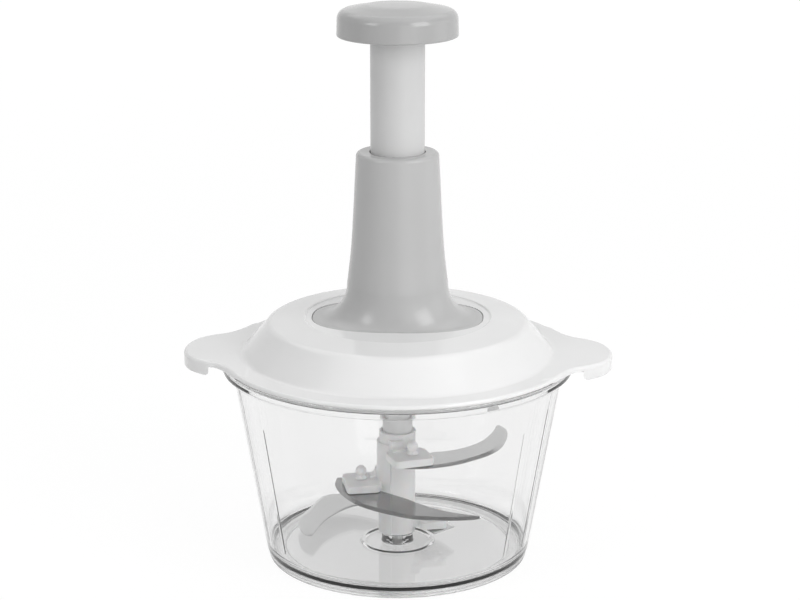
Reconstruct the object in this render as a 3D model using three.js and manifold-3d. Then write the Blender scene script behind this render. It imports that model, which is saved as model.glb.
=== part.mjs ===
// Press-down food chopper. A clear bowl stands on a soft foot ring and carries a white lid with
// two ears. A palm knob on a sprung tube is pressed into the tower on the lid. A nut in the tube
// drives a twisted strip, and through a ratchet and a spindle it turns a hub with three blades.
// Millimetres, +Z up, origin at the centre of the base, +X towards one ear, -Y to the front.

import * as THREE from 'three';
import { mergeVertices } from 'three/addons/utils/BufferGeometryUtils.js';
import Module from 'manifold-3d';

const wasm = await Module();
wasm.setup();

// Clearances and counts
const seat_gap = 0.3; // between pieces that rest on each other
const running_gap = 0.4; // round pieces that turn or slide
const overrun = 1; // how far a cutter passes what it cuts
const wide_sides = 40; // facets round the bowl and the lid
const middle_sides = 32; // facets round the tower, the knob and the tube
const inner_sides = 24; // facets round pieces inside the lid
const small_sides = 8; // facets round bosses and screws
const pin_sides = 12; // facets round pins, pegs and their holes
const hex_sides = 6;
const fillet_steps = 2; // segments in a rounded corner
const quarter = Math.PI / 2;
const full_turn = 2 * Math.PI;

// Bowl
const base_radius = 64.1; // outer wall carried down to the table
const bowl_wall = 2.2;
const rim_bottom = 95.6;
const rim_height = 4.8;
const rim_radius = 85;
const rim_wall = 2.4;
const rim_step = 4.7; // how far the rim band stands out from the wall
const shoulder_thickness = 2.2;
const floor_bottom = 2.6;
const floor_thickness = 2.2;
const floor_corner = 5;
const post_radius = 7.8;
const post_height = 4.8;
const bead_radius = 17.7;
const bead_width = 1.7;
const bead_height = 1;
const rib_half_width = 2.2;
const rib_depth = 0.5;
const rib_end_steps = 2;
const rib_bottom = 12;
const rib_angles = [20, 36]; // degrees either side of each ear
const rib_drops = [13.6, 19.6]; // under the rim band
const lug_projection = 8; // past the rim band
const lug_half_width = 12;
const lug_thickness = 3.6;
const lug_corner = 3;
const rim_top = rim_bottom + rim_height;
const shoulder_top = rim_bottom + shoulder_thickness;
const floor_top = floor_bottom + floor_thickness;
const post_top = floor_top + post_height;
const throat_radius = rim_radius - rim_step; // outer wall where the rim band starts
const lug_reach = rim_radius + lug_projection;
const wall_lean = (throat_radius - base_radius) / rim_bottom;

// Foot ring
const foot_inset = 0.4; // from the wall's line
const foot_height = 3.7;
const foot_wall = 3.6;
const foot_lip_reach = 5.5; // inward, under the bowl's foot step
const foot_lip_thickness = 1.2;
const foot_radius = base_radius - foot_inset;
const foot_step_radius = foot_radius + foot_height * wall_lean + running_gap - foot_wall;

// Pivot pin
const pin_radius = 2.5;
const pin_length = 29;
const pin_seat_depth = 6;
const pin_top = post_top - pin_seat_depth + pin_length;

// Blade hub
const hub_mouth_wall = 1.3; // round the spindle
const hub_collar_step = 0.2;
const hub_shell_start = 100; // degrees, the hub's wall is thicker over this sector
const hub_shell_sweep = 150;
const hub_shell_steps = 10;
const lower_shell_step = 0.5;
const lower_shell_height = 24;
const upper_shell_step = 1.4;
const upper_shell_height = 47;
const hub_height = 52.4;
const hub_collar_height = 3;
const socket_depth = 17;
const blades_angle = 2.4; // degrees, how the hub stands at rest
const hub_bottom = post_top + running_gap;
const hub_top = hub_bottom + hub_height;
const shaft_radius = 7.3; // of the spindle
const hub_collar_radius = shaft_radius + running_gap + hub_mouth_wall;
const hub_radius = hub_collar_radius - hub_collar_step;
const lower_shell_radius = hub_radius + lower_shell_step;
const upper_shell_radius = hub_radius + upper_shell_step;

// Platforms and blades
const platform_reach = 26.4;
const low_platform_reach = 23.4;
const platform_half_width = 10;
const platform_start = 10; // where the pad widens out from its neck
const neck_half_width = 5.5;
const platform_thickness = 3.8;
const platform_corner = 2.4;
const web_reach = 13.5; // the web that stiffens the platform's root
const web_height = 4.4;
const web_toe_height = 0.8;
const web_top_overhang = 1.4; // past the hub
const web_hollow = 2.9; // fillet of its sloping edge
const web_near_side = -6.8;
const web_far_side = -0.6;
const blade_thickness = 1;
const blade_bevel = 2.4;
const blade_edge = 0.25;
const blade_stations = 22;
const upper_blade_room = 2.1; // between a blade's reach and the bowl's foot
const middle_blade_room = 6.5;
const lower_blade_room = 4.1;
const stake_radius = 1.6;
const stake_cone_radius = 3.2;
const stake_neck_radius = 2;
const stake_neck_height = 2.2;
const stake_ball_radius = 2.7;
const stake_ball_height = 4.2; // of its centre over the platform
const stake_ball_steps = 4;
const stake_flat_height = 1; // of a stake without a ball
const stake_head_radius = 3;
const stake_head_thickness = 1.3;
const peg_distance = 20;
const peg_side = -5.5;
const peg_radius = 1.2;

// Each blade: its platform's height over the hub's foot, direction and reach, the stake's place
// along and across it and whether it ends in a ball, the blade's reach, how far along which
// direction it starts to bend and its slope there, and its two edges from root to tip as shares
// of the reach. The outer edge is ground.
const upper_blade = {
  platform_rise: 45.5,
  platform_angle: 289,
  pad_reach: platform_reach,
  stake_along: 18,
  stake_across: 1.4,
  stake_ball: true,
  reach: base_radius - upper_blade_room,
  bend_angle: 0,
  bend_start: 16,
  bend_slope: 0.06,
  outer_shares: [[-0.02, -0.33], [0.07, -0.38], [0.23, -0.38], [0.42, -0.34], [0.56, -0.27],
    [0.71, -0.16], [0.81, -0.03], [0.865, 0.13], [0.893, 0.29], [0.892, 0.42], [0.865, 0.5]],
  inner_shares: [[-0.05, -0.22], [0.05, -0.18], [0.17, -0.09], [0.28, -0.04], [0.38, -0.03],
    [0.52, 0.02], [0.67, 0.15], [0.77, 0.35], [0.812, 0.51]],
};
const middle_blade = {
  platform_rise: 27.5,
  platform_angle: 190,
  pad_reach: platform_reach,
  stake_along: 18,
  stake_across: -1.2,
  stake_ball: true,
  reach: base_radius - middle_blade_room,
  bend_angle: 0,
  bend_start: 0,
  bend_slope: 0,
  outer_shares: [[-0.54, 0.05], [-0.515, -0.08], [-0.45, -0.25], [-0.35, -0.42],
    [-0.22, -0.55], [-0.06, -0.66], [0.14, -0.76], [0.4, -0.79], [0.6, -0.775], [0.685, -0.74]],
  inner_shares: [[-0.52, 0.18], [-0.28, 0.19], [-0.19, 0.06], [-0.17, -0.1], [-0.05, -0.22],
    [0.07, -0.32], [0.15, -0.405], [0.23, -0.485], [0.35, -0.585], [0.52, -0.67],
    [0.685, -0.725]],
};
const lower_blade = {
  platform_rise: 6.4,
  platform_angle: 9,
  pad_reach: low_platform_reach,
  stake_along: 17,
  stake_across: 0,
  stake_ball: false,
  reach: base_radius - lower_blade_room,
  bend_angle: 180,
  bend_start: 12,
  bend_slope: -0.06,
  outer_shares: [[0.475, -0.01], [0.385, 0.17], [0.23, 0.35], [0.07, 0.53], [-0.13, 0.67],
    [-0.33, 0.765], [-0.51, 0.8], [-0.63, 0.775], [-0.69, 0.67], [-0.75, 0.5], [-0.83, 0.29],
    [-0.835, 0.19], [-0.81, 0.02], [-0.77, -0.09], [-0.735, -0.13]],
  inner_shares: [[0.3, -0.175], [0.19, 0.01], [0.145, 0.15], [0.02, 0.28], [-0.14, 0.41],
    [-0.32, 0.49], [-0.47, 0.39], [-0.58, 0.23], [-0.63, 0.12], [-0.67, -0.02], [-0.7, -0.13]],
};

// Lid shell
const brim_overhang = 0.7; // past the rim band
const brim_thickness = 1.9;
const brim_edge_fillet = 0.9;
const brim_shelf = 10.5; // flat part of the brim
const slope_foot_rise = 0.4;
const slope_run = 12.7;
const plateau_rise = 15.6; // over the brim's top
const crown_rise = 17.2; // over the brim's top, where the tower stands
const dish_margin = 4.1; // of the sunken middle, past the tower's flange
const dish_depth = 0.6;
const dish_slant = 0.8;
const crease_fillet = 3;
const lid_wall = 2.2;
const crown_thickness = 4.8;
const brim_bottom = rim_top + seat_gap;
const brim_top = brim_bottom + brim_thickness;
const crown_top = brim_top + crown_rise;
const crown_bottom = crown_top - crown_thickness;
const brim_radius = rim_radius + brim_overhang;
const slope_foot_radius = brim_radius - brim_shelf;
const plateau_radius = slope_foot_radius - slope_run;

// Ears
const ear_projection = 19; // past the rim band
const ear_height = 7.2;
const ear_lift = 0.5; // over the brim
const ear_roof = 2.2;
const ear_fillet = 1.2;
const ear_gap = 7.6; // between the bowl's rim band and the ear's skirt
const ear_lip_round = 2.4; // of the skirt's end
const ear_pocket_share = 0.92;
const ear_centre_share = 0.73;
const ear_steps = 12; // from tip to root
const ear_outline_shares = [[1, 0], [0.99, 0.077], [0.955, 0.154], [0.89, 0.213], [0.832, 0.245],
  [0.79, 0.288], [0.755, 0.343], [0.72, 0.404], [0.66, 0.44]];
const ear_reach = rim_radius + ear_projection;
const ear_top = brim_top + ear_lift;
const ear_bottom = ear_top - ear_height;

// Lid base, seal and their screws
const base_plate_lift = 0.6; // over the bowl's shoulder
const seal_space = 4; // between the plate and the rim band
const tongue_reach = 1.4;
const tongue_thickness = 0.9;
const seal_lip = 0.4;
const post_inset = 7.5; // from the plateau's edge
const screw_post_radius = 3.4;
const screw_radius = 1.1;
const screw_head_radius = 3;
const screw_head_thickness = 1.6;
const base_screw_length = 10;
const base_screw_count = 4;
const base_plate_radius = rim_radius - rim_wall - seal_space;
const post_distance = plateau_radius - post_inset;
const base_plate_bottom = shoulder_top + base_plate_lift;
const base_plate_top = brim_bottom - seat_gap;

// Tower
const flange_margin = 1.9; // past the flare along X
const flange_side_margin = 0.5;
const flange_power = 2.5; // 2 is an ellipse, more is squarer
const flange_thickness = 2.5;
const flare_height = 17;
const flare_reach = 15; // along X
const flare_side_reach = 3.2; // along Y
const tower_wall = 2.4;
const tower_height = 81.4; // over the lid's crown
const tower_spread = 4.5; // how much wider the round part is at its foot
const tower_taper_shares = [0, 0.4, 0.64, 0.82, 1]; // of the narrowing, at even heights
const tower_top_fillet = 2;
const tower_roof = 2.5;
const mouth_gap = 0.5; // round the tube
const tower_boss_inset = 15.2; // from the flange's end
const tower_boss_y = 10;
const tower_boss_height = 5;
const tower_screw_length = 8;
const guide_rib_half_width = 1.5;
const guide_rib_depth = 0.8; // into the tube's flange
const flange_top = crown_top + seat_gap;
const flange_bottom = flange_top - flange_thickness;
const tower_top = crown_top + tower_height;
const tube_radius = 12.9;
const tube_flange_overhang = 4.3;
const flange_room = 0.2; // between the tube's flange and the tower's narrowest wall
const tube_flange_radius = tube_radius + tube_flange_overhang;
const guide_rib_radius = tube_flange_radius - guide_rib_depth;
const tower_hole_radius = tube_radius + mouth_gap;
const tower_top_radius = tube_flange_radius + flange_room + tower_wall;
const tower_foot_half_width = tower_top_radius + tower_spread;
const flange_half_length = tower_foot_half_width + flare_reach + flange_margin;
const flange_half_width = tower_foot_half_width + flare_side_reach + flange_side_margin;
const tower_boss_x = flange_half_length - tower_boss_inset;
const flare_steps = 5;
const inner_flare_steps = 3;

// Plunger
const travel = 52;
const tube_wall = 2;
const tube_web = 2;
const tube_flange_thickness = 2.5;
const bush_length = 12.8;
const bush_wall = 3.9;
const tube_flange_top = tower_top - tower_roof - 2 * seat_gap - bush_length;
const tube_bottom = tube_flange_top - tube_flange_thickness;

// Knob
const knob_radius = 28.7;
const knob_height = 15.3;
const knob_wall = 2.4;
const knob_draft = 0.4;
const knob_edge_fillet = 4.6;
const knob_foot_fillet = 0.8;
const knob_crown = 3.4;
const knob_stop_gap = 3.1; // left between knob and tower when pressed home
const knob_base_lift = 0.7;
const knob_base_thickness = 2.2;
const knob_collar_wall = 2.2;
const tube_insertion = 5.3; // how deep the tube stands in the knob
const knob_boss_radius = 4.2;
const knob_screw_length = 8.4;
const knob_bottom = tower_top + travel + knob_stop_gap;
const knob_top = knob_bottom + knob_height;
const tube_top = knob_bottom + tube_insertion;

// Drive nut, twisted strip and spring
const strip_width = 9;
const strip_thickness = 2.5;
const lead = 26; // height of one full twist
const turn_direction = -1; // pressing turns the blades clockwise from above
const strip_steps_per_turn = 24;
const strip_overreach = 3; // above the nut when the knob is up
const nut_flange_thickness = 1.8;
const nut_flange_room = 0.6; // inside the tower's guide ribs
const nut_spigot_height = 5.3;
const nut_gap = 0.5;
const nut_pin_radius = 1;
const nut_pin_length = 4.6;
const nut_pin_rise = 3.4; // over the tube's bottom
const spring_inset = 0.8; // of the wire's middle from the nut's edge
const wire_radius = 0.7;
const spring_turns = 9;
const spring_steps_per_turn = 8;
const wire_sides = 5;
const nut_bottom = tube_bottom - seat_gap - nut_flange_thickness;
const nut_flange_radius = guide_rib_radius - nut_flange_room;
const spring_radius = nut_flange_radius - spring_inset;

// Spindle, its bush and clip, and the ratchet
const hex_step = 0.8; // from the shaft to the hexagon's corners
const hex_gap = 0.4;
const collar_depth = 3; // the hub's collar takes the plain shaft this deep
const bush_body_wall = 2;
const bush_flange_thickness = 1.2;
const bush_drop = 2; // under the lid base
const clip_thickness = 0.9;
const clip_depth = 0.7;
const clip_overhang = 2.1; // past the shaft
const clip_opening = 50; // degrees
const clip_steps = 16;
const disc_overhang = 4.9; // past the driver's hub
const driven_disc_thickness = 2.4;
const driver_disc_thickness = 3;
const tooth_height = 1.4;
const tooth_count = 8;
const tooth_root_share = 0.5;
const tooth_flank_share = 0.06;
const ratchet_gap = 0.5;
const ratchet_play = 1.5; // degrees
const driver_hub_wall = 2.4; // past the strip's edges
const driver_hub_height = 6;
const driver_pin_radius = 1;
const strip_seat_depth = 8;
const housing_wall = 2.2;
const housing_flange_reach = 5.5;
const housing_flange_thickness = 2;
const housing_roof = 2;
const spring_cup_gap = 0.5;
const spring_cup_wall = 0.8;
const lid_hole_gap = 0.5; // round the spring's cup
const spring_cup_depth = 1.5;
const hex_radius = shaft_radius - hex_step;
const clip_radius = shaft_radius + clip_overhang;
const driver_hub_radius = strip_width / 2 + driver_hub_wall;
const disc_radius = driver_hub_radius + disc_overhang;
const bush_flange_radius = disc_radius + running_gap;
const housing_inner_radius = disc_radius + 2 * running_gap;
const housing_outer_radius = housing_inner_radius + housing_wall;
const housing_flange_radius = housing_outer_radius + housing_flange_reach;
const spring_cup_radius = spring_radius + wire_radius + spring_cup_gap + spring_cup_wall;
const lid_hole_radius = spring_cup_radius + lid_hole_gap;
const bush_flange_top = base_plate_top + seat_gap + bush_flange_thickness;
const driven_disc_bottom = bush_flange_top + seat_gap;
const driven_disc_top = driven_disc_bottom + driven_disc_thickness;
const driver_disc_bottom = driven_disc_top + tooth_height + ratchet_gap;
const driver_disc_top = driver_disc_bottom + driver_disc_thickness;
const housing_roof_bottom = driver_disc_top + running_gap;
const housing_top = housing_roof_bottom + housing_roof;
const driver_hub_top = driver_disc_top + driver_hub_height;
const strip_bottom = driver_hub_top - strip_seat_depth;
const twist_start = driver_hub_top + seat_gap;
const strip_top = tube_bottom + nut_spigot_height + strip_overreach;

// Materials
function plastic(color, roughness) {
  return new THREE.MeshStandardMaterial({ color, roughness, metalness: 0 });
}

function metal(color, roughness) {
  return new THREE.MeshStandardMaterial({ color, roughness, metalness: 1 });
}

const clear_plastic = plastic(0xe8ecee, 0.05);
clear_plastic.transparent = true;
clear_plastic.opacity = 0.3;
const clear_rubber = plastic(0xdfe3e5, 0.35);
const white_plastic = plastic(0xf2f2f1, 0.25);
const hub_plastic = plastic(0xe9e9e8, 0.4);
const grey_plastic = plastic(0xb4b4b4, 0.3);
const tube_plastic = plastic(0xe6e6e6, 0.35);
const seal_rubber = plastic(0xd9dcdc, 0.6);
const blade_steel = metal(0xc4c6c8, 0.28);
const machined_steel = metal(0x9a9da1, 0.35);
const spring_steel = metal(0x8f9296, 0.4);

// Solids

// A closed solid from a geometry, with its seams merged and flat triangles dropped.
function solidOf(geometry) {
  const bare = geometry.clone();
  bare.deleteAttribute('normal');
  bare.deleteAttribute('uv');
  const merged = mergeVertices(bare);
  const corners = merged.index.array;
  const kept = [];
  for (let i = 0; i < corners.length; i += 3) {
    const [a, b, c] = corners.slice(i, i + 3);
    if (a !== b && b !== c && c !== a) kept.push(a, b, c);
  }
  const vertProperties = new Float32Array(merged.attributes.position.array);
  return new wasm.Manifold(new wasm.Mesh({
    numProp: 3, vertProperties, triVerts: new Uint32Array(kept),
  }));
}

function geometryOf(solid) {
  const mesh = solid.getMesh();
  const geometry = new THREE.BufferGeometry();
  geometry.setAttribute('position', new THREE.BufferAttribute(mesh.vertProperties, 3));
  geometry.setIndex(new THREE.BufferAttribute(mesh.triVerts, 1));
  return geometry;
}

function join(first, ...others) {
  return geometryOf(others.reduce((sum, other) => sum.add(solidOf(other)), solidOf(first)));
}

function cut(first, ...others) {
  return geometryOf(others.reduce((rest, other) => rest.subtract(solidOf(other)), solidOf(first)));
}

function overlapOf(first, second) {
  return geometryOf(solidOf(first).intersect(solidOf(second)));
}

// Corners [x, y, fillet radius] to points, each fillet a short curve.
function filleted(corners, closed) {
  const points = [];
  corners.forEach(([x, y, radius = 0], i) => {
    const corner = new THREE.Vector2(x, y);
    if (radius === 0) {
      points.push(corner);
      return;
    }
    const before = corners[(i + corners.length - 1) % corners.length];
    const after = corners[(i + 1) % corners.length];
    const back = new THREE.Vector2(before[0], before[1]).sub(corner).normalize();
    const on = new THREE.Vector2(after[0], after[1]).sub(corner).normalize();
    const inset = radius / Math.tan(Math.acos(back.dot(on)) / 2);
    const start = corner.clone().addScaledVector(back, inset);
    const end = corner.clone().addScaledVector(on, inset);
    points.push(...new THREE.QuadraticBezierCurve(start, corner, end).getPoints(fillet_steps));
  });
  if (closed) points.push(points[0].clone());
  return points;
}

// A profile of [radius, height, fillet] corners turned about Z, from the axis back to the axis.
function revolve(corners, sides) {
  return new THREE.LatheGeometry(filleted(corners, false), sides).rotateX(quarter);
}

// The same for a profile that closes on itself, off the axis.
function revolveRing(corners, sides) {
  return new THREE.LatheGeometry(filleted(corners, true), sides).rotateX(quarter);
}

function rod(radius, bottom, top, sides = small_sides) {
  return revolve([[0, bottom], [radius, bottom], [radius, top], [0, top]], sides);
}

// A flat outline in plan, raised from bottom to top.
function raised(points, bottom, top) {
  const shape = new THREE.Shape(points);
  const geometry = new THREE.ExtrudeGeometry(shape, { depth: top - bottom, bevelEnabled: false });
  return geometry.translate(0, 0, bottom);
}

// A surface through rings of points, each ring counter-clockwise seen from the later rings.
function skin(rings) {
  const count = rings[0].length;
  const positions = [];
  const faces = [];
  const middles = [rings[0], rings[rings.length - 1]].map((ring) => ring
    .reduce((sum, point) => sum.add(point), new THREE.Vector3()).divideScalar(count));
  rings.flat().concat(middles).forEach((point) => positions.push(point.x, point.y, point.z));
  const first_middle = rings.length * count;
  for (let i = 0; i < count; i += 1) {
    const next = (i + 1) % count;
    faces.push(first_middle, next, i);
    for (let k = 0; k + 1 < rings.length; k += 1) {
      const low = k * count;
      const high = low + count;
      faces.push(low + i, low + next, high + next);
      faces.push(low + i, high + next, high + i);
    }
    const last = (rings.length - 1) * count;
    faces.push(first_middle + 1, last + i, last + next);
  }
  const geometry = new THREE.BufferGeometry();
  geometry.setAttribute('position', new THREE.Float32BufferAttribute(positions, 3));
  geometry.setIndex(faces);
  return geometry;
}

// Copies of a geometry turned about Z by each angle, in degrees.
function turned(geometry, degrees) {
  return geometry.clone().rotateZ(THREE.MathUtils.degToRad(degrees));
}

function polar(radius, degrees) {
  const angle = THREE.MathUtils.degToRad(degrees);
  return new THREE.Vector2(radius * Math.cos(angle), radius * Math.sin(angle));
}

// Bowl

function outerWallRadius(height) {
  return base_radius + wall_lean * height;
}

function innerWallRadius(height) {
  return outerWallRadius(height) - bowl_wall;
}

function wallRib(angle, top) {
  const lower = new THREE.Vector3(innerWallRadius(rib_bottom), 0, rib_bottom);
  const upper = new THREE.Vector3(innerWallRadius(top), 0, top);
  const length = upper.distanceTo(lower);
  const bar = new THREE.CapsuleGeometry(rib_half_width, length, rib_end_steps, hex_sides);
  bar.scale(1, 1, rib_depth / rib_half_width);
  bar.rotateX(quarter).rotateZ(quarter);
  bar.rotateY(Math.atan(wall_lean));
  const middle = lower.add(upper).divideScalar(2);
  return turned(bar.translate(middle.x, middle.y, middle.z), angle);
}

function bowlLug(side) {
  const inner = rim_radius - rim_wall / 2;
  const outline = filleted([
    [inner, -lug_half_width], [lug_reach, -lug_half_width, lug_corner],
    [lug_reach, lug_half_width, lug_corner], [inner, lug_half_width],
  ], false);
  const top = rim_top - running_gap;
  return turned(raised(outline, top - lug_thickness, top), side);
}

function bowl() {
  const step_top = foot_height + seat_gap;
  const step_bottom = foot_lip_thickness + seat_gap;
  const recess_radius = foot_step_radius - foot_lip_reach;
  const bead_inner = bead_radius - bead_width;
  const body = revolve([
    [0, floor_bottom], [recess_radius, floor_bottom], [recess_radius, step_bottom],
    [foot_step_radius, step_bottom], [foot_step_radius, step_top],
    [outerWallRadius(step_top), step_top], [throat_radius, rim_bottom],
    [rim_radius, rim_bottom], [rim_radius, rim_top], [rim_radius - rim_wall, rim_top],
    [rim_radius - rim_wall, shoulder_top], [innerWallRadius(shoulder_top), shoulder_top],
    [innerWallRadius(floor_top), floor_top, floor_corner],
    [bead_radius, floor_top], [bead_radius, floor_top + bead_height],
    [bead_inner, floor_top + bead_height], [bead_inner, floor_top],
    [post_radius, floor_top], [post_radius, post_top],
    [pin_radius + seat_gap, post_top],
    [pin_radius + seat_gap, post_top - pin_seat_depth - seat_gap],
    [0, post_top - pin_seat_depth - seat_gap],
  ], wide_sides);
  const ribs = [];
  rib_angles.forEach((angle, i) => {
    [angle, -angle, 180 - angle, 180 + angle].forEach((place) => {
      ribs.push(wallRib(place, rim_bottom - rib_drops[i]));
    });
  });
  return join(body, bowlLug(0), bowlLug(180), ...ribs);
}

function footRing() {
  const top_radius = foot_radius + foot_height * wall_lean;
  const inner = foot_step_radius + seat_gap;
  const lip = foot_step_radius - foot_lip_reach;
  return revolveRing([
    [lip, 0], [foot_radius, 0], [top_radius, foot_height], [inner, foot_height],
    [inner, foot_lip_thickness], [lip, foot_lip_thickness],
  ], wide_sides);
}

function pivotPin() {
  const bottom = pin_top - pin_length;
  const tip_fillet = pin_radius / 2;
  return revolve([
    [0, bottom], [pin_radius, bottom], [pin_radius, pin_top, tip_fillet], [0, pin_top],
  ], small_sides);
}

// Blade hub, blades and their stakes

// Height of a blade's upper face at a point in plan.
function bladeTop(blade, x, y) {
  const flat = hub_bottom + blade.platform_rise - platform_thickness - seat_gap;
  const direction = polar(1, blade.bend_angle);
  const past = x * direction.x + y * direction.y - blade.bend_start;
  return flat + blade.bend_slope * Math.max(0, past);
}

function bladeEdge(blade, shares) {
  const points = shares.map(([x, y]) => new THREE.Vector2(x * blade.reach, y * blade.reach));
  return new THREE.SplineCurve(points).getSpacedPoints(blade_stations);
}

function onPlatform(blade, along, across) {
  const direction = polar(1, blade.platform_angle);
  return new THREE.Vector2(
    direction.x * along - direction.y * across,
    direction.y * along + direction.x * across,
  );
}

function bladeBody(blade) {
  const outer = bladeEdge(blade, blade.outer_shares);
  const inner = bladeEdge(blade, blade.inner_shares);
  const rings = outer.map((edge, i) => {
    const back = inner[i];
    const width = edge.distanceTo(back);
    const bevel_share = Math.min(blade_bevel, width / 2) / width;
    const ground = edge.clone().lerp(back, bevel_share);
    const top = (p) => bladeTop(blade, p.x, p.y);
    return [
      new THREE.Vector3(edge.x, edge.y, top(edge) - blade_thickness + blade_edge),
      new THREE.Vector3(edge.x, edge.y, top(edge) - blade_thickness),
      new THREE.Vector3(back.x, back.y, top(back) - blade_thickness),
      new THREE.Vector3(back.x, back.y, top(back)),
      new THREE.Vector3(ground.x, ground.y, top(ground)),
    ];
  });
  const flat = hub_bottom + blade.platform_rise;
  const holes = [
    [stake_radius + seat_gap, onPlatform(blade, blade.stake_along, blade.stake_across)],
    [peg_radius + seat_gap, onPlatform(blade, peg_distance, peg_side)],
  ].map(([radius, place]) => rod(radius, flat - platform_thickness - 2 * overrun, flat, pin_sides)
    .translate(place.x, place.y, 0));
  return cut(skin(rings), ...holes);
}

function platform(blade) {
  const top = hub_bottom + blade.platform_rise;
  const outline = filleted([
    [0, -neck_half_width], [platform_start, -neck_half_width],
    [platform_start, -platform_half_width, platform_corner],
    [blade.pad_reach, -platform_half_width, platform_corner],
    [blade.pad_reach, platform_half_width, platform_corner],
    [platform_start, platform_half_width, platform_corner],
    [platform_start, neck_half_width], [0, neck_half_width],
  ], false);
  const slab = turned(raised(outline, top - platform_thickness, top), blade.platform_angle);
  const web_top_reach = hub_radius + web_top_overhang;
  const web_profile = filleted([
    [hub_radius / 2, top - seat_gap], [web_reach, top - seat_gap],
    [web_reach, top + web_toe_height], [web_top_reach, top + web_toe_height, web_hollow],
    [web_top_reach, top + web_height], [hub_radius / 2, top + web_height],
  ], false);
  const web = raised(web_profile, web_near_side, web_far_side).rotateX(quarter)
    .translate(0, web_far_side + web_near_side, 0);
  const peg_place = onPlatform(blade, peg_distance, peg_side);
  const peg_bottom = top - platform_thickness - seat_gap - blade_thickness;
  const peg = rod(peg_radius, peg_bottom, top - platform_thickness / 2, pin_sides);
  const stake_place = onPlatform(blade, blade.stake_along, blade.stake_across);
  const hole = rod(
    stake_radius + seat_gap, top - platform_thickness - overrun, top + overrun, pin_sides,
  );
  return cut(
    join(slab, turned(web, blade.platform_angle), peg.translate(peg_place.x, peg_place.y, 0)),
    hole.translate(stake_place.x, stake_place.y, 0),
  );
}

function hubShell(radius, bottom, top) {
  const outline = [];
  for (let i = 0; i <= hub_shell_steps; i += 1) {
    const share = i / hub_shell_steps;
    outline.push(polar(radius, hub_shell_start + hub_shell_sweep * share));
  }
  outline.push(new THREE.Vector2(0, 0));
  return raised(outline, bottom, top);
}

function bladeHub() {
  const body = revolve([
    [0, hub_bottom], [hub_radius, hub_bottom], [hub_radius, hub_top - hub_collar_height],
    [hub_collar_radius, hub_top - hub_collar_height], [hub_collar_radius, hub_top, seat_gap],
    [0, hub_top],
  ], middle_sides);
  const shell_step = hub_bottom + lower_shell_height;
  const solid = join(
    body,
    hubShell(lower_shell_radius, hub_bottom, shell_step),
    hubShell(upper_shell_radius, shell_step, hub_bottom + upper_shell_height),
    ...[upper_blade, middle_blade, lower_blade].map(platform),
  );
  const bore = rod(pin_radius + running_gap, hub_bottom - overrun, pin_top + running_gap);
  const socket = rod(hex_radius + hex_gap, hub_top - socket_depth, hub_top, hex_sides);
  const mouth = rod(
    shaft_radius + running_gap, hub_top - collar_depth, hub_top + overrun, inner_sides,
  );
  return cut(solid, bore, socket, mouth);
}

// Moulded stake: a flat head under the blade, and over the platform a cone, some with a ball.
function stake(blade) {
  const platform_top = hub_bottom + blade.platform_rise;
  const head_top = platform_top - platform_thickness - blade_thickness - 2 * seat_gap;
  const cone_bottom = platform_top + seat_gap;
  const ball_middle = platform_top + stake_ball_height;
  const profile = [
    [0, head_top - stake_head_thickness],
    [stake_head_radius, head_top - stake_head_thickness], [stake_head_radius, head_top],
    [stake_radius, head_top], [stake_radius, cone_bottom], [stake_cone_radius, cone_bottom],
  ];
  if (blade.stake_ball) {
    profile.push([stake_neck_radius, platform_top + stake_neck_height]);
    for (let i = 0; i < stake_ball_steps; i += 1) {
      const angle = THREE.MathUtils.lerp(-quarter / 2, quarter, i / stake_ball_steps);
      const radius = stake_ball_radius * Math.cos(angle);
      profile.push([radius, ball_middle + stake_ball_radius * Math.sin(angle)]);
    }
    profile.push([0, ball_middle + stake_ball_radius]);
  } else {
    const flat_top = cone_bottom + stake_flat_height;
    profile.push([stake_neck_radius, flat_top], [0, flat_top]);
  }
  const place = onPlatform(blade, blade.stake_along, blade.stake_across);
  return revolve(profile, small_sides).translate(place.x, place.y, 0);
}

// Lid

// Pan-head screw driven upwards, with the top of its head at head_top.
function screw(head_top, length) {
  return revolve([
    [0, head_top - screw_head_thickness],
    [screw_head_radius, head_top - screw_head_thickness],
    [screw_head_radius, head_top], [screw_radius, head_top], [screw_radius, head_top + length],
    [0, head_top + length],
  ], small_sides);
}

function basePlaces() {
  const places = [];
  for (let i = 0; i < base_screw_count; i += 1) {
    places.push(polar(post_distance, 360 * ((i + 0.5) / base_screw_count)));
  }
  return places;
}

function towerPlaces() {
  const places = [];
  [1, -1].forEach((x_side) => {
    [1, -1].forEach((y_side) => {
      places.push(new THREE.Vector2(x_side * tower_boss_x, y_side * tower_boss_y));
    });
  });
  return places;
}

function copiesAt(places, geometry) {
  return places.map((place) => geometry.clone().translate(place.x, place.y, 0));
}

function earOutline(size_share) {
  const centre = ear_centre_share * ear_reach;
  const upper = ear_outline_shares.map(([x, y]) => new THREE.Vector2(
    centre + (x * ear_reach - centre) * size_share,
    y * ear_reach * size_share,
  ));
  const curve = new THREE.SplineCurve([...upper].reverse()).getPoints(ear_steps);
  const mirrored = curve.slice(0, -1).reverse().map((p) => new THREE.Vector2(p.x, -p.y));
  return [...curve, ...mirrored].reverse();
}

function ear(side) {
  const shape = new THREE.Shape(earOutline(1));
  const body = new THREE.ExtrudeGeometry(shape, {
    depth: ear_height - 2 * ear_fillet,
    bevelThickness: ear_fillet,
    bevelSize: ear_fillet,
    bevelOffset: -ear_fillet,
    bevelSegments: 1,
  }).translate(0, 0, ear_bottom + ear_fillet);
  const pocket = raised(earOutline(ear_pocket_share), ear_bottom - overrun, ear_top - ear_roof);
  return turned(cut(body, pocket), side);
}

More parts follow.
